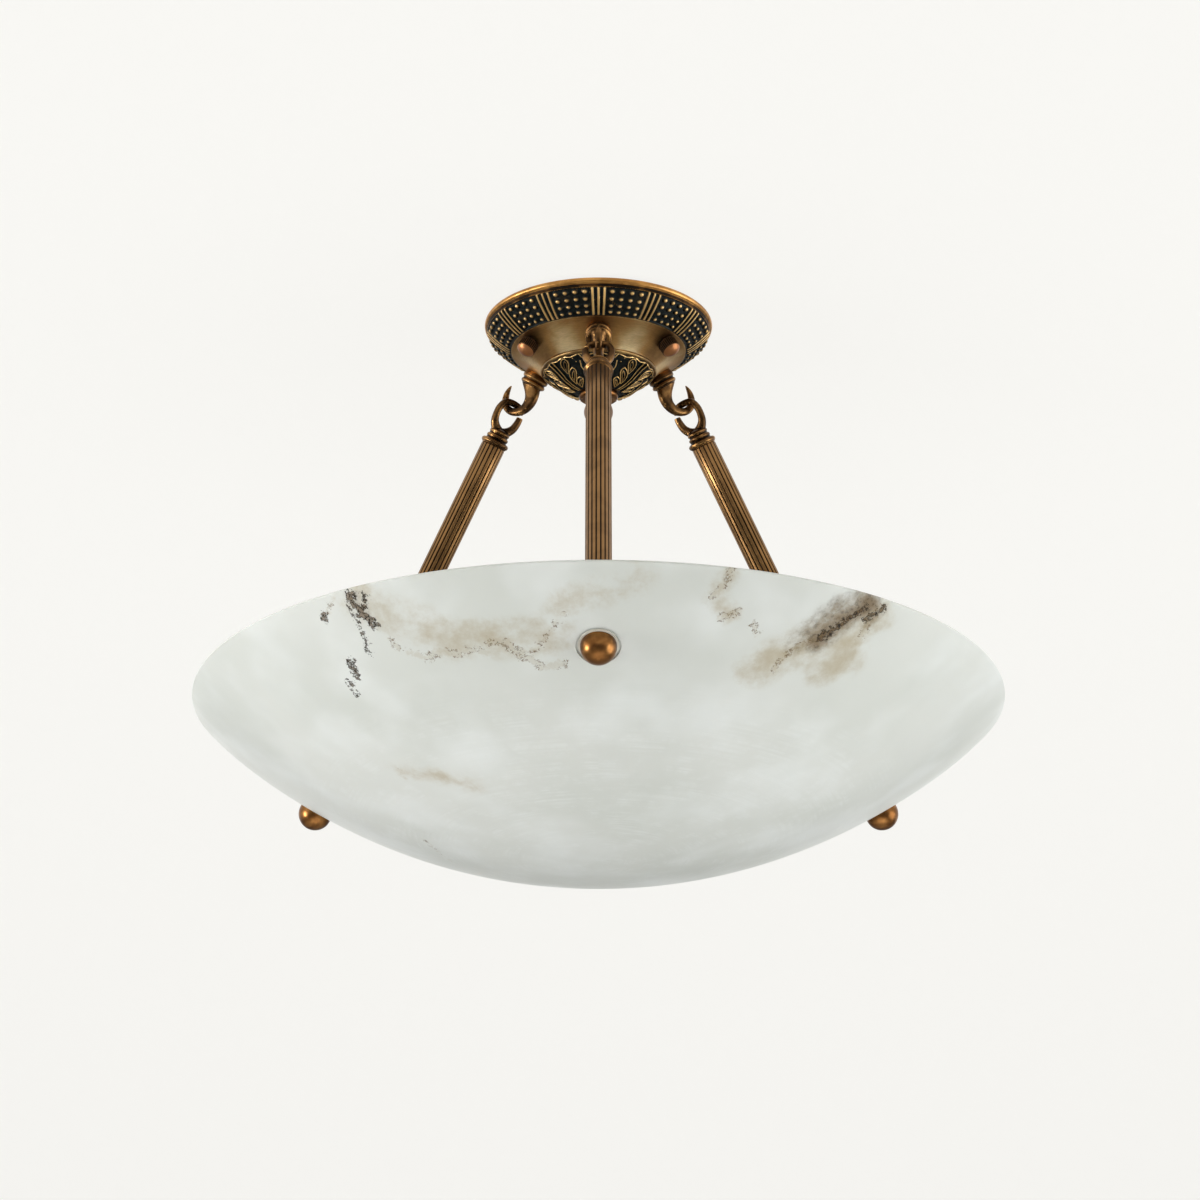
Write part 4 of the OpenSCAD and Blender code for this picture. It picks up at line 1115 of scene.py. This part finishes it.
@dataclass
class CanopyCup:
    """The bell-shaped cup: dark carving with ribs and nested leaf loops."""

    lip_r: float = 36.5
    seam_z: float = -34.2
    bell_top: Point = (35.3, -36.4)
    waist: Point = (24.5, -44.628)
    foot: Point = (13.2, -50.0)
    bell_turn: float = 14.0
    swell_turn: float = -26.0
    length: float = 27.0
    wall: float = 2.0
    bore: float = 5.1
    panels: int = 6
    rib_step: float = 6.4
    rib_angle: float = 2.4
    third: float = 120.0
    line_half: float = 0.5
    rise: float = 0.7
    fade: float = 0.03
    columns: int = 960

    @staticmethod
    def _strokes() -> list[tuple[Grid, float]]:
        """The carved lines between a hook and a cap screw.

        Returns:
            Each line's points, as degrees from the hook and share of the way down, and its height.
        """
        out: list[tuple[Grid, float]] = []

        def loop(foot: float, lean: float, top: float, bottom: float, half: float, weight: float) -> None:
            """Adds a leaf loop, pointed at its top and round at its foot.

            Args:
                foot: Degrees from the hook at its foot.
                lean: How many degrees further its top lies.
                top: How far down its top is.
                bottom: How far down its foot is.
                half: Half its width, in degrees.
                weight: Its height, 0 to 1.
            """
            t = np.linspace(0, 1, 13)
            width = half * np.sin(np.pi * t ** 0.75) ** 0.9
            spine = foot + lean * (1 - t)
            down = top + (bottom - top) * t
            out.append((np.stack([spine - width, down], 1), weight))
            out.append((np.stack([spine + width, down], 1), weight))

        for foot, lean, top, bottom, half in ((47, -6, 0.04, 0.46, 5.6), (47, -11, 0.34, 0.78, 6.4),
                                              (42, -10, 0.62, 0.93, 7.0)):
            loop(foot, lean, top, bottom, half, 1.0)
            loop(foot, lean, top + 0.09, bottom - 0.07, half * 0.4, 0.85)
        for curve in (((60, 0.0), (50, 0.055), (41, 0.0), (31, 0.055), (21, 0.0), (10, 0.055), (0, 0.0)),
                      ((21, 0.0), (19, 0.1), (13, 0.2), (5, 0.3)),
                      ((22, 0.2), (23, 0.36), (20, 0.5), (14, 0.6), (7, 0.66)),
                      ((20, 0.58), (18, 0.72), (13, 0.84), (8, 0.88)),
                      ((29.5, 0.09), (29.5, 0.1)), ((27, 0.2), (27, 0.21))):
            out.append((np.array(curve, float), 1.0))
        return out

    def _carving(self, angle: Grid, share: Grid, radius: Grid) -> Raised:
        """Raises border ribs, leaf loops and curls.

        Args:
            angle: Azimuth of each point, in radians.
            share: How far each row is down the bell, 0 to 1.
            radius: Radius of each row.

        Returns:
            Height and crest of each point.
        """
        from_rib = np.abs(from_nearest(angle, 360 / self.panels))
        from_hook = np.abs(from_nearest(angle, self.third))
        across = np.radians(from_rib - self.rib_step / 2) * radius
        best = ridge(across / np.maximum(self.line_half, np.radians(self.rib_angle / 2) * radius), 1.0)
        down = np.broadcast_to(share * self.length, angle.shape)
        place = np.radians(from_hook) * radius
        for line, weight in self._strokes():
            near = np.full(angle.shape, 1e3)
            for (a0, s0), (a1, s1) in zip(line, line[1:]):
                ax, bx = np.radians(a0) * radius, np.radians(a1) * radius
                ay, by = s0 * self.length, s1 * self.length
                dx, dy = bx - ax, by - ay
                t = np.clip(((place - ax) * dx + (down - ay) * dy) / (dx ** 2 + dy ** 2 + 1e-9), 0, 1)
                near = np.minimum(near, np.hypot(place - ax - t * dx, down - ay - t * dy))
            best = np.maximum(best, weight * ridge(near, self.line_half))
        rise = (best * (self.rise + SINK) - SINK) * faded(share, self.fade)
        return rise, np.clip(best * 2.2 - 1.25, 0.02, 1)

    def build(self) -> None:
        """Makes the cup."""
        bell = arc(self.bell_top, self.waist, self.bell_turn, 0, 14)
        swell = arc(self.waist, self.foot, self.swell_turn, 0, 14)
        top_in = (self.lip_r - 5.5, self.seam_z)
        lip = [top_in, (self.lip_r, self.seam_z), (self.lip_r + 0.4, self.seam_z - 0.8),
               (self.lip_r - 0.2, self.seam_z - 1.8), self.bell_top]
        floor_z = self.foot[1] + self.wall
        inside = [(self.bore, self.foot[1]), (self.bore, floor_z), (12.0, floor_z),
                  *reversed(arc(self.bell_top, self.waist, self.bell_turn, self.wall, 6)), top_in]
        bands = [Band(lip, 0.8, crest=0.5), Band(bell + swell[1:], 0.4, self._carving),
                 Band([swell[-1]] + inside, 6.0, crest=0.3)]
        piece = Turned("canopy_cup_carved", bands, self.columns, sharp=70.0)
        finish_piece(piece.build(Matrix.Identity(4)), Finishes.FIELD, Body.CANOPY, "canopy_cup")


@dataclass
class CapScrews:
    """Three cap screws: a knurled head with a copper-bright domed end."""

    seat_r: float = 50.0
    seat_depth: float = 25.9
    tilt: float = 31.0
    head_r: float = 6.0
    head_h: float = 6.5
    dome_h: float = 2.6
    chamfer: float = 0.4
    foot: float = 0.3
    sunk: float = 0.8
    teeth: int = 30
    tooth: float = 0.35
    fade: float = 0.12

    def _knurl(self, angle: Grid, share: Grid, radius: Grid) -> Raised:
        """Raises the knurl's teeth.

        Args:
            angle: Angle of each point, in radians.
            share: How far each row is along the head.
            radius: Radius of each row; not used.

        Returns:
            Height and crest of each point.
        """
        wave = 0.5 + 0.5 * np.cos(angle * self.teeth)
        edge = faded(share, self.fade)
        return (wave - 1) * self.tooth * edge, 0.12 + 0.3 * wave * edge

    def build(self) -> None:
        """Makes the three heads."""
        shoulder = self.head_r - self.chamfer
        dome = arc((0.0, self.head_h + self.dome_h), (shoulder, self.head_h),
                   -math.degrees(2 * math.atan(self.dome_h / shoulder)), 0, 10)
        for lamp in Lamp:
            top, foot = (self.head_r, self.head_h - self.chamfer), (self.head_r, self.foot)
            bands = [Band(dome, 0.8, crest=0.95), Band([dome[-1], top], 0.3, crest=0.3),
                     Band([top, foot], 0.8, self._knurl),
                     Band([foot, (self.head_r - 0.6, -self.sunk), (0.0, -self.sunk)], 2.0, crest=0.05)]
            place = on_tilt(lamp.value, self.seat_r, self.seat_depth, self.tilt)
            piece = Turned(f"cap_screw_{lamp.word}", bands, 240, closed=False).build(place)
            finish_piece(piece, Finishes.SCREW, Body.CANOPY, "cap_screws")


@dataclass
class Casting:
    """A cast piece: swept bars and turned collars melted into one skin."""

    name: str
    sides: int = 24
    steps: int = 6
    voxel: float = 0.34
    melt_rounds: int = 4
    spots: list[Grid] = field(default_factory=list)
    faces: list[list[int]] = field(default_factory=list)
    count: int = 0

    def _keep(self, spots: Grid, faces: list[list[int]], place: Matrix) -> None:
        """Adds a closed form to the casting.

        Args:
            spots: The form's points.
            faces: Lists of its point numbers.
            place: The form's frame.
        """
        turn = np.array(place.to_3x3())
        self.spots.append(spots @ turn.T + np.array(place.translation))
        self.faces += [[v + self.count for v in face] for face in faces]
        self.count += len(spots)

    @staticmethod
    def _smooth(stations: Sequence[Sequence[float]], steps: int) -> Grid:
        """Draws a smooth line through stations.

        Args:
            stations: The stations.
            steps: Number of points from each to the next.

        Returns:
            The line.
        """
        s = np.array(stations, float)
        n = len(s) - 1
        out = []
        for k in range(n):
            a, b, c, d = s[max(k - 1, 0)], s[k], s[k + 1], s[min(k + 2, n)]
            for j in range(steps):
                u = j / steps
                out.append(0.5 * (2 * b + (c - a) * u + (2 * a - 5 * b + 4 * c - d) * u * u
                                  + (3 * b - a - 3 * c + d) * u ** 3))
        out.append(s[-1])
        return np.array(out)

    def bar(self, stations: Sequence[Sequence[float]], place: Matrix, square: float = 1.0) -> None:
        """Sweeps a tapering bar along a line in the XY plane of its frame.

        Args:
            stations: Each is x, y, half width, half thickness.
            place: The bar's frame.
            square: 1 for an oval section, less for a squarer one.
        """
        line = self._smooth(stations, self.steps)
        ahead = np.vstack([line[1:], line[-1:]])[:, :2] - np.vstack([line[:1], line[:-1]])[:, :2]
        head = np.arctan2(ahead[:, 1], ahead[:, 0])[:, None]
        a = 2 * np.pi * np.arange(self.sides) / self.sides
        u = line[:, 2:3] * np.sign(np.cos(a)) * np.abs(np.cos(a)) ** square
        v = line[:, 3:4] * np.sign(np.sin(a)) * np.abs(np.sin(a)) ** square
        parts = [line[:, 0:1] - u * np.sin(head), line[:, 1:2] + u * np.cos(head), v]
        spots = np.stack(parts, -1).reshape(-1, 3)
        n, m = len(line), self.sides
        faces = [[k * m + j, (k + 1) * m + j, (k + 1) * m + (j + 1) % m, k * m + (j + 1) % m]
                 for k in range(n - 1) for j in range(m)]
        faces += [list(range(m)), list(range(n * m - 1, (n - 1) * m - 1, -1))]
        self._keep(spots, faces, place)

    def turning(self, outline: Sequence[Point], place: Matrix, columns: int = 48) -> None:
        """Adds a turned form whose outline starts and ends on the axis.

        Args:
            outline: Radius and height from one end to the other.
            place: The form's frame.
            columns: Points round it.
        """
        ring = outline[1:-1]
        a = 2 * np.pi * np.arange(columns) / columns
        spots = [np.stack([r * np.cos(a), r * np.sin(a), np.full(columns, z)], 1) for r, z in ring]
        spots.append(np.array([[0, 0, outline[0][1]], [0, 0, outline[-1][1]]], float))
        first, last = len(ring) * columns, len(ring) * columns + 1
        faces = [[k * columns + j, k * columns + (j + 1) % columns,
                  (k + 1) * columns + (j + 1) % columns, (k + 1) * columns + j]
                 for k in range(len(ring) - 1) for j in range(columns)]
        base = (len(ring) - 1) * columns
        faces += [[first, (j + 1) % columns, j] for j in range(columns)]
        faces += [[last, base + j, base + (j + 1) % columns] for j in range(columns)]
        self._keep(np.concatenate(spots), faces, place)

    def pour(self) -> bpy.types.Object:
        """Melts the forms into one skin with soft inner corners.

        Returns:
            The new object.
        """
        piece = new_piece(self.name, np.concatenate(self.spots), self.faces, Matrix.Identity(4), 180.0)
        melt = piece.modifiers.new("melt", "REMESH")
        melt.mode = "VOXEL"
        melt.voxel_size = self.voxel * MM
        melt.use_smooth_shade = True
        ease = piece.modifiers.new("ease", "SMOOTH")
        ease.factor = 0.5
        ease.iterations = self.melt_rounds
        graph = bpy.context.evaluated_depsgraph_get()
        skin = bpy.data.meshes.new_from_object(piece.evaluated_get(graph))
        piece.modifiers.clear()
        spare = piece.data
        piece.data = skin
        bpy.data.meshes.remove(spare)
        skin.name = self.name
        skin.shade_smooth()
        return piece


@dataclass
class Hooks:
    """Cast hooks screwed to the plain band: collar, flattened horn, round bottom and a claw."""

    seat_r: float = 46.0
    seat_depth: float = 28.6
    tilt: float = 33.0
    collar_r: float = 8.5
    bear_r: float = 64.0
    bear_drop: float = 45.75

    def _line(self) -> list[tuple[float, float, float, float]]:
        """The hook's line from its horn to the tip of its claw.

        Returns:
            Each station's radius, height, half width and half thickness.
        """
        r, z = self.bear_r, -self.bear_drop
        return [(r - 14.5, z + 15.2, 6.0, 5.2), (r - 15.0, z + 8.2, 5.0, 3.9), (r - 14.2, z + 3.2, 4.3, 3.4),
                (r - 12.0, z - 0.6, 3.6, 3.1), (r - 8.4, z - 3.2, 3.0, 2.8), (r - 4.0, z - 3.9, 2.6, 2.6),
                (r + 0.9, z - 2.4, 2.5, 2.4), (r + 4.3, z + 1.3, 2.4, 2.3), (r + 5.1, z + 5.8, 2.2, 2.2),
                (r + 4.2, z + 10.2, 1.7, 1.9), (r + 2.1, z + 13.8, 0.9, 1.2), (r + 0.6, z + 15.4, 0.3, 0.4)]

    def _collar(self) -> list[Point]:
        """The collar's outline in its own frame.

        Returns:
            Radius and height of each point, from the dish outwards.
        """
        c = self.collar_r
        return [(0, -2.0), (c - 0.6, -2.0), (c, 0.6), (c, 2.0), (c - 1.1, 2.8), (c - 1.1, 3.6),
                (c - 0.3, 4.2), (c - 0.3, 5.4), (c - 1.6, 6.4), (0, 6.4)]

    def build(self) -> None:
        """Makes the three hooks."""
        for side in Side:
            casting = Casting(f"hook_{side.word}_cast")
            upright = (Matrix.Rotation(math.radians(side.value), 4, "Z")
                       @ Matrix.Rotation(math.radians(-90), 4, "Z")
                       @ Matrix.Rotation(math.radians(90), 4, "X"))
            casting.bar(self._line(), upright, 0.8)
            casting.turning(self._collar(), on_tilt(side.value, self.seat_r, self.seat_depth, self.tilt))
            finish_piece(casting.pour(), Finishes.CAST, Body.CANOPY, f"hook_{side.word}")


@dataclass
class Rods:
    """Reeded rods with cast eyes at their tops and dome nuts outside the bowl."""

    bear_r: float = 64.0
    bear_depth: float = 45.5
    tilt: float = 29.972
    top: float = 28.0
    bottom: float = 275.9
    radius: float = 7.9
    bore_r: float = 4.05
    chamfer: float = 0.5
    reeds: int = 18
    reed_columns: int = 14
    groove: float = 0.75
    fade: float = 0.004
    flange_r: float = 9.15
    eye_half: float = 8.0
    wire: float = 2.4
    air: float = 0.2
    side_turn: float = 30.0

    def place(self, side: Side) -> Matrix:
        """The rod's frame, with +Z down the rod from where its eye bears."""
        return on_tilt(side.value, self.bear_r, self.bear_depth, self.tilt)

    def _reeds(self, angle: Grid, share: Grid, radius: Grid) -> Raised:
        """Cuts narrow grooves between flat reeds.

        Args:
            angle: Angle of each point, in radians.
            share: How far each row is up the rod.
            radius: Radius of each row; not used.

        Returns:
            Height and crest of each point.
        """
        across = np.abs(np.cos(angle * self.reeds / 2))
        reed = np.clip(across / 0.62, 0, 1) ** 0.75
        crest = np.clip((across - 0.22) / 0.5, 0, 0.88) * np.ones_like(share)
        return (reed - 1) * self.groove * faded(share, self.fade), crest

    def _eye(self, side: Side) -> bpy.types.Object:
        """Makes a rod's eye: two legs that spring from a collar and link over the hook.

        Args:
            side: The rod's side.

        Returns:
            The new object.
        """
        h, w, arch = self.eye_half, self.wire - self.air, -self.wire
        long_leg = [(1.2, 18.2, 3.4, 3.2), (4.4, 16.0, 3.0, 2.8), (7.0, 12.4, 2.5, 2.5), (h, 7.6, 2.2, 2.4),
                    (h - 0.3, 3.0, 2.2, 2.3), (h - 2.6, arch + 1.0, w - 0.1, w), (0, arch, w, w),
                    (-h + 2.6, arch + 1.0, w - 0.2, w - 0.1), (-h + 0.5, 2.4, w - 0.5, w - 0.4)]
        short_leg = [(-1.2, 18.2, 3.4, 3.2), (-4.4, 16.0, 3.0, 2.8), (-7.0, 12.4, 2.6, 2.5),
                     (-h, 7.8, 2.3, 2.4), (-h - 0.1, 3.9, 2.0, 2.2)]
        f = self.flange_r
        neck = [(0, 16.6), (4.6, 16.6), (6.2, 17.6), (6.9, 18.8), (6.2, 19.8), (6.0, 20.4), (7.2, 21.2),
                (7.3, 22.4), (6.6, 23.2), (6.8, 23.8), (f - 0.6, 24.4), (f, 25.2), (f, 26.4),
                (f - 0.9, 27.3), (f - 1.3, 28), (0, 28)]
        turn = {Side.FRONT: 0.0, Side.RIGHT: -self.side_turn, Side.LEFT: self.side_turn}[side]
        own = self.place(side) @ Matrix.Rotation(math.radians(turn), 4, "Z")
        wire_plane = own @ Matrix.Rotation(math.radians(90), 4, "X")
        if side is Side.RIGHT:
            long_leg = [(-x, y, a, b) for x, y, a, b in long_leg]
            short_leg = [(-x, y, a, b) for x, y, a, b in short_leg]
        casting = Casting(f"eye_{side.word}_cast")
        casting.bar(long_leg, wire_plane, 0.9)
        casting.bar(short_leg, wire_plane, 0.9)
        casting.turning(neck, own)
        return casting.pour()

    def build(self) -> None:
        """Makes the rods and their eyes, and dresses what the CAD gives."""
        edge, low, high = self.radius - self.chamfer, self.bottom - self.chamfer, self.top + self.chamfer
        bands = [Band([(self.bore_r, self.bottom), (edge, self.bottom), (self.radius, low)], 2.0, crest=0.5),
                 Band([(self.radius, low), (self.radius, high)], 31.0, self._reeds),
                 Band([(self.radius, high), (edge, self.top), (self.bore_r, self.top)], 2.0, crest=0.5),
                 Band([(self.bore_r, self.top), (self.bore_r, self.bottom)], 300.0, crest=0.3)]
        for side in Side:
            body = Body.of_side(side)
            rod = Turned(f"rod_{side.word}_reeded", bands, self.reeds * self.reed_columns, sharp=50.0)
            rod = rod.build(self.place(side))
            finish_piece(rod, Finishes.REEDED, body, f"rod_{side.word}")
            finish_piece(self._eye(side), Finishes.CAST, body, f"eye_{side.word}")
            dress_node(f"stud_{side.word}", Finishes.STEEL)
            dress_node(f"inner_washer_{side.word}", Finishes.PLAIN_BRASS)
            dress_node(f"outer_washer_{side.word}", Finishes.WASHER)
            dress_node(f"dome_nut_{side.word}", Finishes.POLISHED)


@dataclass
class CanopyHardware:
    """What holds the canopy and what hangs under it: plate, nipple, nuts and finial."""

    def build(self) -> None:
        """Dresses the CAD nodes of the canopy."""
        for node in ("ceiling_plate", "plate_locknut", "hook_washers", "hook_nuts"):
            dress_node(node, Finishes.ZINC)
        dress_node("centre_nipple", Finishes.STEEL)
        dress_node("terminal_block", Finishes.WHITE_PLASTIC)
        dress_node("earth_screw", Finishes.PLAIN_BRASS)
        for node in ("cup_ring", "finial_ball", "finial_bead"):
            dress_node(node, Finishes.POLISHED)


@dataclass
class Bowl:
    """The alabaster bowl, turned, bored and spot-faced for the studs, with the traces of its veins."""

    shape: BowlShape = BowlShape()
    inset: float = 0.12
    columns: int = 720
    outer_step: float = 2.4
    inner_step: float = 9.0
    hole_r: float = 5.0
    spot_r: float = 13.0
    spot_out: float = 286.745
    spot_in: float = 277.704
    cutter_l: float = 19.2
    outer_rows: int = 181
    inner_rows: int = 121
    sharp: float = 35.0

    def _blank(self) -> bpy.types.Object:
        """Turns the bowl before its holes are cut.

        Returns:
            The new object.
        """
        shape = self.shape
        rim, top = shape.rim_round, -shape.drop
        outside = [(r, shape.height(r)) for r in np.linspace(shape.radius - self.inset, 0.0, self.outer_rows)]
        inside = [shape.inside(r) for r in np.linspace(0.0, shape.radius, self.inner_rows)]
        inside = [p for p in inside if p[1] < top - rim]
        (r0, z0), (r1, z1) = inside[-2:]
        land = r1 + (top - z1) * (r1 - r0) / (z1 - z0)
        edge = outside[0][0]
        lip = (arc((land - 0.4, top - rim), (land + rim, top), -60, 0, 4)
               + arc((edge - rim, top), (edge, top - rim), -80, 0, 5))
        bands = [Band(inside, self.inner_step), Band([inside[-1]] + lip, 3.0),
                 Band([lip[-1]] + outside, self.outer_step)]
        blank = Turned("bowl_stone", bands, self.columns, closed=False, sharp=self.sharp)
        return blank.build(Matrix.Identity(4))

    def _cutter(self, side: Side) -> bpy.types.Object:
        """Makes a spool that bores one hole and grinds its two flat spots.

        Args:
            side: The hole's side.

        Returns:
            The spool.
        """
        far, near = self.spot_out + self.cutter_l, self.spot_in - self.cutter_l
        line = [(0.0, far), (self.spot_r, far), (self.spot_r, self.spot_out), (self.hole_r, self.spot_out),
                (self.hole_r, self.spot_in), (self.spot_r, self.spot_in), (self.spot_r, near), (0.0, near)]
        return Turned(f"cutter_{side.word}", [Band(line, 50.0)], 64, closed=False).build(Rods().place(side))

    @staticmethod
    def _cut(piece: bpy.types.Object, cutters: Sequence[bpy.types.Object]) -> None:
        """Takes the cutters out of a piece and removes them.

        Args:
            piece: The piece.
            cutters: The cutters.
        """
        for cutter in cutters:
            step = piece.modifiers.new(cutter.name, "BOOLEAN")
            step.operation = "DIFFERENCE"
            step.solver = "EXACT"
            step.object = cutter
        graph = bpy.context.evaluated_depsgraph_get()
        done = bpy.data.meshes.new_from_object(piece.evaluated_get(graph))
        piece.modifiers.clear()
        spare = piece.data
        piece.data = done
        bpy.data.meshes.remove(spare)
        for cutter in cutters:
            mesh = cutter.data
            bpy.data.objects.remove(cutter)
            bpy.data.meshes.remove(mesh)

    def _trace(self, piece: bpy.types.Object) -> None:
        """Writes how strongly each kind of trace shows at each point.

        Args:
            piece: The bowl.
        """
        mesh = piece.data
        spots = np.empty(len(mesh.vertices) * 3)
        mesh.vertices.foreach_get("co", spots)
        spots = spots.reshape(-1, 3) / MM
        for trace in Trace:
            total = np.zeros(len(spots))
            for vein in VEINS:
                if vein.trace is not trace:
                    continue
                line = [np.array(self.shape.on_outside(*place)) for place in vein.run]
                near = np.full(len(spots), np.inf)
                for a, b in zip(line, line[1:]):
                    share = np.clip((spots - a) @ (b - a) / ((b - a) @ (b - a)), 0, 1)
                    near = np.minimum(near, np.linalg.norm(spots - a - share[:, None] * (b - a), axis=1))
                total = np.maximum(total, vein.depth * np.clip(1 - near / vein.width, 0, 1))
            held = mesh.attributes.new(trace.value, "FLOAT", "POINT")
            held.data.foreach_set("value", total.astype(np.float32))

    def build(self) -> None:
        """Makes the bowl in place of the CAD's."""
        piece = self._blank()
        self._cut(piece, [self._cutter(side) for side in Side])
        self._trace(piece)
        piece.data.shade_smooth()
        piece.data.set_sharp_from_angle(angle=math.radians(self.sharp))
        finish_piece(piece, Finishes.ALABASTER, Body.BOWL, "bowl")


@dataclass
class LampCluster:
    """The stem, cluster body, arms, lampholders and bulbs inside the bowl."""

    def build(self) -> None:
        """Dresses the CAD nodes of the cluster."""
        for node in ("stem", "lamp_hub", "hub_cover"):
            dress_node(node, Finishes.PLAIN_BRASS)
        for lamp in Lamp:
            dress_node(f"lamp_arm_{lamp.word}", Finishes.PLAIN_BRASS)
            dress_node(f"lampholder_{lamp.word}", Finishes.PORCELAIN)
            dress_node(f"bulb_cap_{lamp.word}", Finishes.NICKEL)
            dress_node(f"bulb_glass_{lamp.word}", Finishes.BULB)


@dataclass(frozen=True)
class SoftLamp:
    """A soft square lamp: where it stands, where it points, its side and its power."""

    name: str
    spot_m: Spot
    aim_m: Spot
    side_m: float
    power_w: float
    colour: Colour = (1.0, 1.0, 1.0)

    def hang(self) -> None:
        """Makes the lamp and turns it to what it lights."""
        lamp = bpy.data.lights.new(self.name, "AREA")
        lamp.shape = "SQUARE"
        lamp.size = self.side_m
        lamp.energy = self.power_w
        lamp.color = self.colour
        stand = bpy.data.objects.new(self.name, lamp)
        stand.location = self.spot_m
        stand.rotation_euler = (Vector(self.aim_m) - Vector(self.spot_m)).to_track_quat("-Z", "Y").to_euler()
        bpy.context.scene.collection.objects.link(stand)


@dataclass
class Studio:
    """Camera, ceiling, floor and lights."""

    distance_m: float = 2.6
    aim_m: float = -0.170
    elevation: float = 20.91
    focal_px: float = 4160.0
    centre_px: Point = (598.5, 570.45)
    photo_px: float = 1200.0
    sensor_mm: float = 36.0
    reach_m: float = 50.0
    room_m: float = 9.0
    ceiling_m: float = 0.0006
    floor_m: float = -2.1
    ceiling_colour: Colour = from_screen(249, 248, 244)
    ceiling_glow: float = 0.925
    floor_colour: Colour = (0.77, 0.775, 0.77)
    world_strength: float = 0.72
    world_ahead: Colour = (0.2, 0.203, 0.208)
    world_beside: Colour = (1.5, 1.54, 1.6)
    lamps: tuple[SoftLamp, ...] = (
        SoftLamp("key", (-2.3, -0.6, -0.55), (0.0, 0.0, -0.25), 0.7, 31.0, (0.98, 0.99, 1.0)),
        SoftLamp("fill", (2.4, -0.45, -0.55), (0.0, 0.0, -0.25), 2.0, 42.0, (0.97, 0.99, 1.0)),
        SoftLamp("low", (0.0, -0.5, -2.0), (0.0, 0.0, -0.3), 1.8, 12.0),
    )

    def _camera(self) -> None:
        """Sets the camera where the photograph was taken from."""
        lens = bpy.data.cameras.new("camera")
        lens.sensor_width = self.sensor_mm
        lens.lens = self.focal_px / self.photo_px * lens.sensor_width
        lens.shift_x = (self.photo_px / 2 - self.centre_px[0]) / self.photo_px
        lens.shift_y = (self.centre_px[1] - self.photo_px / 2) / self.photo_px
        lens.clip_end = self.reach_m
        camera = bpy.data.objects.new("camera", lens)
        tilt = math.radians(self.elevation)
        camera.location = (0.0, -self.distance_m * math.cos(tilt),
                           self.aim_m - self.distance_m * math.sin(tilt))
        camera.rotation_euler = (math.radians(90) + tilt, 0.0, 0.0)
        bpy.context.scene.collection.objects.link(camera)
        bpy.context.scene.camera = camera

    def _sheet(self, name: str, height_m: float, facing: int) -> bpy.types.Object:
        """A large level sheet that faces up or down.

        Args:
            name: Its name.
            height_m: Its height.
            facing: 1 for up, -1 for down.

        Returns:
            The object.
        """
        half = self.room_m
        corners = [(-half, -half), (half, -half), (half, half), (-half, half)][::facing]
        mesh = bpy.data.meshes.new(name)
        mesh.from_pydata([(x, y, height_m) for x, y in corners], [], [[0, 1, 2, 3]])
        sheet = bpy.data.objects.new(name, mesh)
        bpy.context.scene.collection.objects.link(sheet)
        return sheet

    @staticmethod
    def _paint(name: str, colour: Colour, glow: float) -> bpy.types.Material:
        """Pale paint of an even tone, clear from behind.

        Args:
            name: The material's name.
            colour: The paint.
            glow: Share of its tone that it shows by itself to the camera and in gloss.

        Returns:
            The material.
        """
        made = bpy.data.materials.new(name)
        made.use_nodes = True
        sheet = NodeSheet(made.node_tree)
        shader = made.node_tree.nodes["Principled BSDF"]
        output = made.node_tree.nodes["Material Output"]
        shader.inputs["Roughness"].default_value = 0.9
        shader.inputs["Specular IOR Level"].default_value = 0.1
        grain = sheet.noise(sheet.position(), 3.0, 2.0).outputs["Fac"]
        paint = sheet.mix(grain, tuple(v * 0.99 for v in colour), colour)
        if glow:
            rays = sheet.add("ShaderNodeLightPath").outputs
            mirrored = sheet.math("MAXIMUM", rays["Is Glossy Ray"], rays["Is Transmission Ray"])
            seen = sheet.math("MAXIMUM", rays["Is Camera Ray"], mirrored)
            paint = sheet.mix(seen, paint, tuple(v * (1 - glow) for v in colour))
            shader.inputs["Emission Color"].default_value = (*colour, 1.0)
            sheet.feed(shader.inputs["Emission Strength"], sheet.times(seen, glow))
        sheet.feed(shader.inputs["Base Color"], paint)
        clear = sheet.add("ShaderNodeBsdfTransparent")
        behind = sheet.add("ShaderNodeNewGeometry").outputs["Backfacing"]
        both = sheet.add("ShaderNodeMixShader", {0: behind, 1: shader.outputs[0], 2: clear.outputs[0]})
        sheet.feed(output.inputs["Surface"], both.outputs[0])
        return made

    def _world(self) -> None:
        """Soft light from all round, stronger from both sides."""
        world = bpy.data.worlds.new("studio")
        world.use_nodes = True
        bpy.context.scene.world = world
        sheet = NodeSheet(world.node_tree)
        back = world.node_tree.nodes["Background"]
        way = sheet.add("ShaderNodeTexCoord").outputs["Generated"]
        across = sheet.add("ShaderNodeSeparateXYZ", {0: way}).outputs[0]
        sideways = sheet.ramp(sheet.math("ABSOLUTE", across), 0.35, 0.95)
        back.inputs["Strength"].default_value = self.world_strength
        sheet.feed(back.inputs["Color"], sheet.mix(sideways, self.world_ahead, self.world_beside))

    def build(self) -> None:
        """Builds the whole studio."""
        bpy.context.scene.view_settings.view_transform = "Standard"
        self._camera()
        self._world()
        ceiling = self._sheet("studio_ceiling", self.ceiling_m, -1)
        ceiling.data.materials.append(self._paint("ceiling_paint", self.ceiling_colour, self.ceiling_glow))
        floor = self._sheet("studio_floor", self.floor_m, 1)
        floor.data.materials.append(self._paint("floor_paint", self.floor_colour, 0.0))
        for lamp in self.lamps:
            lamp.hang()


def main() -> None:
    """Builds and dresses the light and its studio."""
    logging.basicConfig(level=logging.INFO, format="%(name)s %(message)s")
    for assembly in (Studio(), CanopyDish(), CanopyCup(), CapScrews(), Hooks(), CanopyHardware(), Rods(),
                     Bowl(), LampCluster()):
        assembly.build()
        log.info("built %s", type(assembly).__name__)
    bpy.context.view_layer.update()


if __name__ == "__main__":
    main()
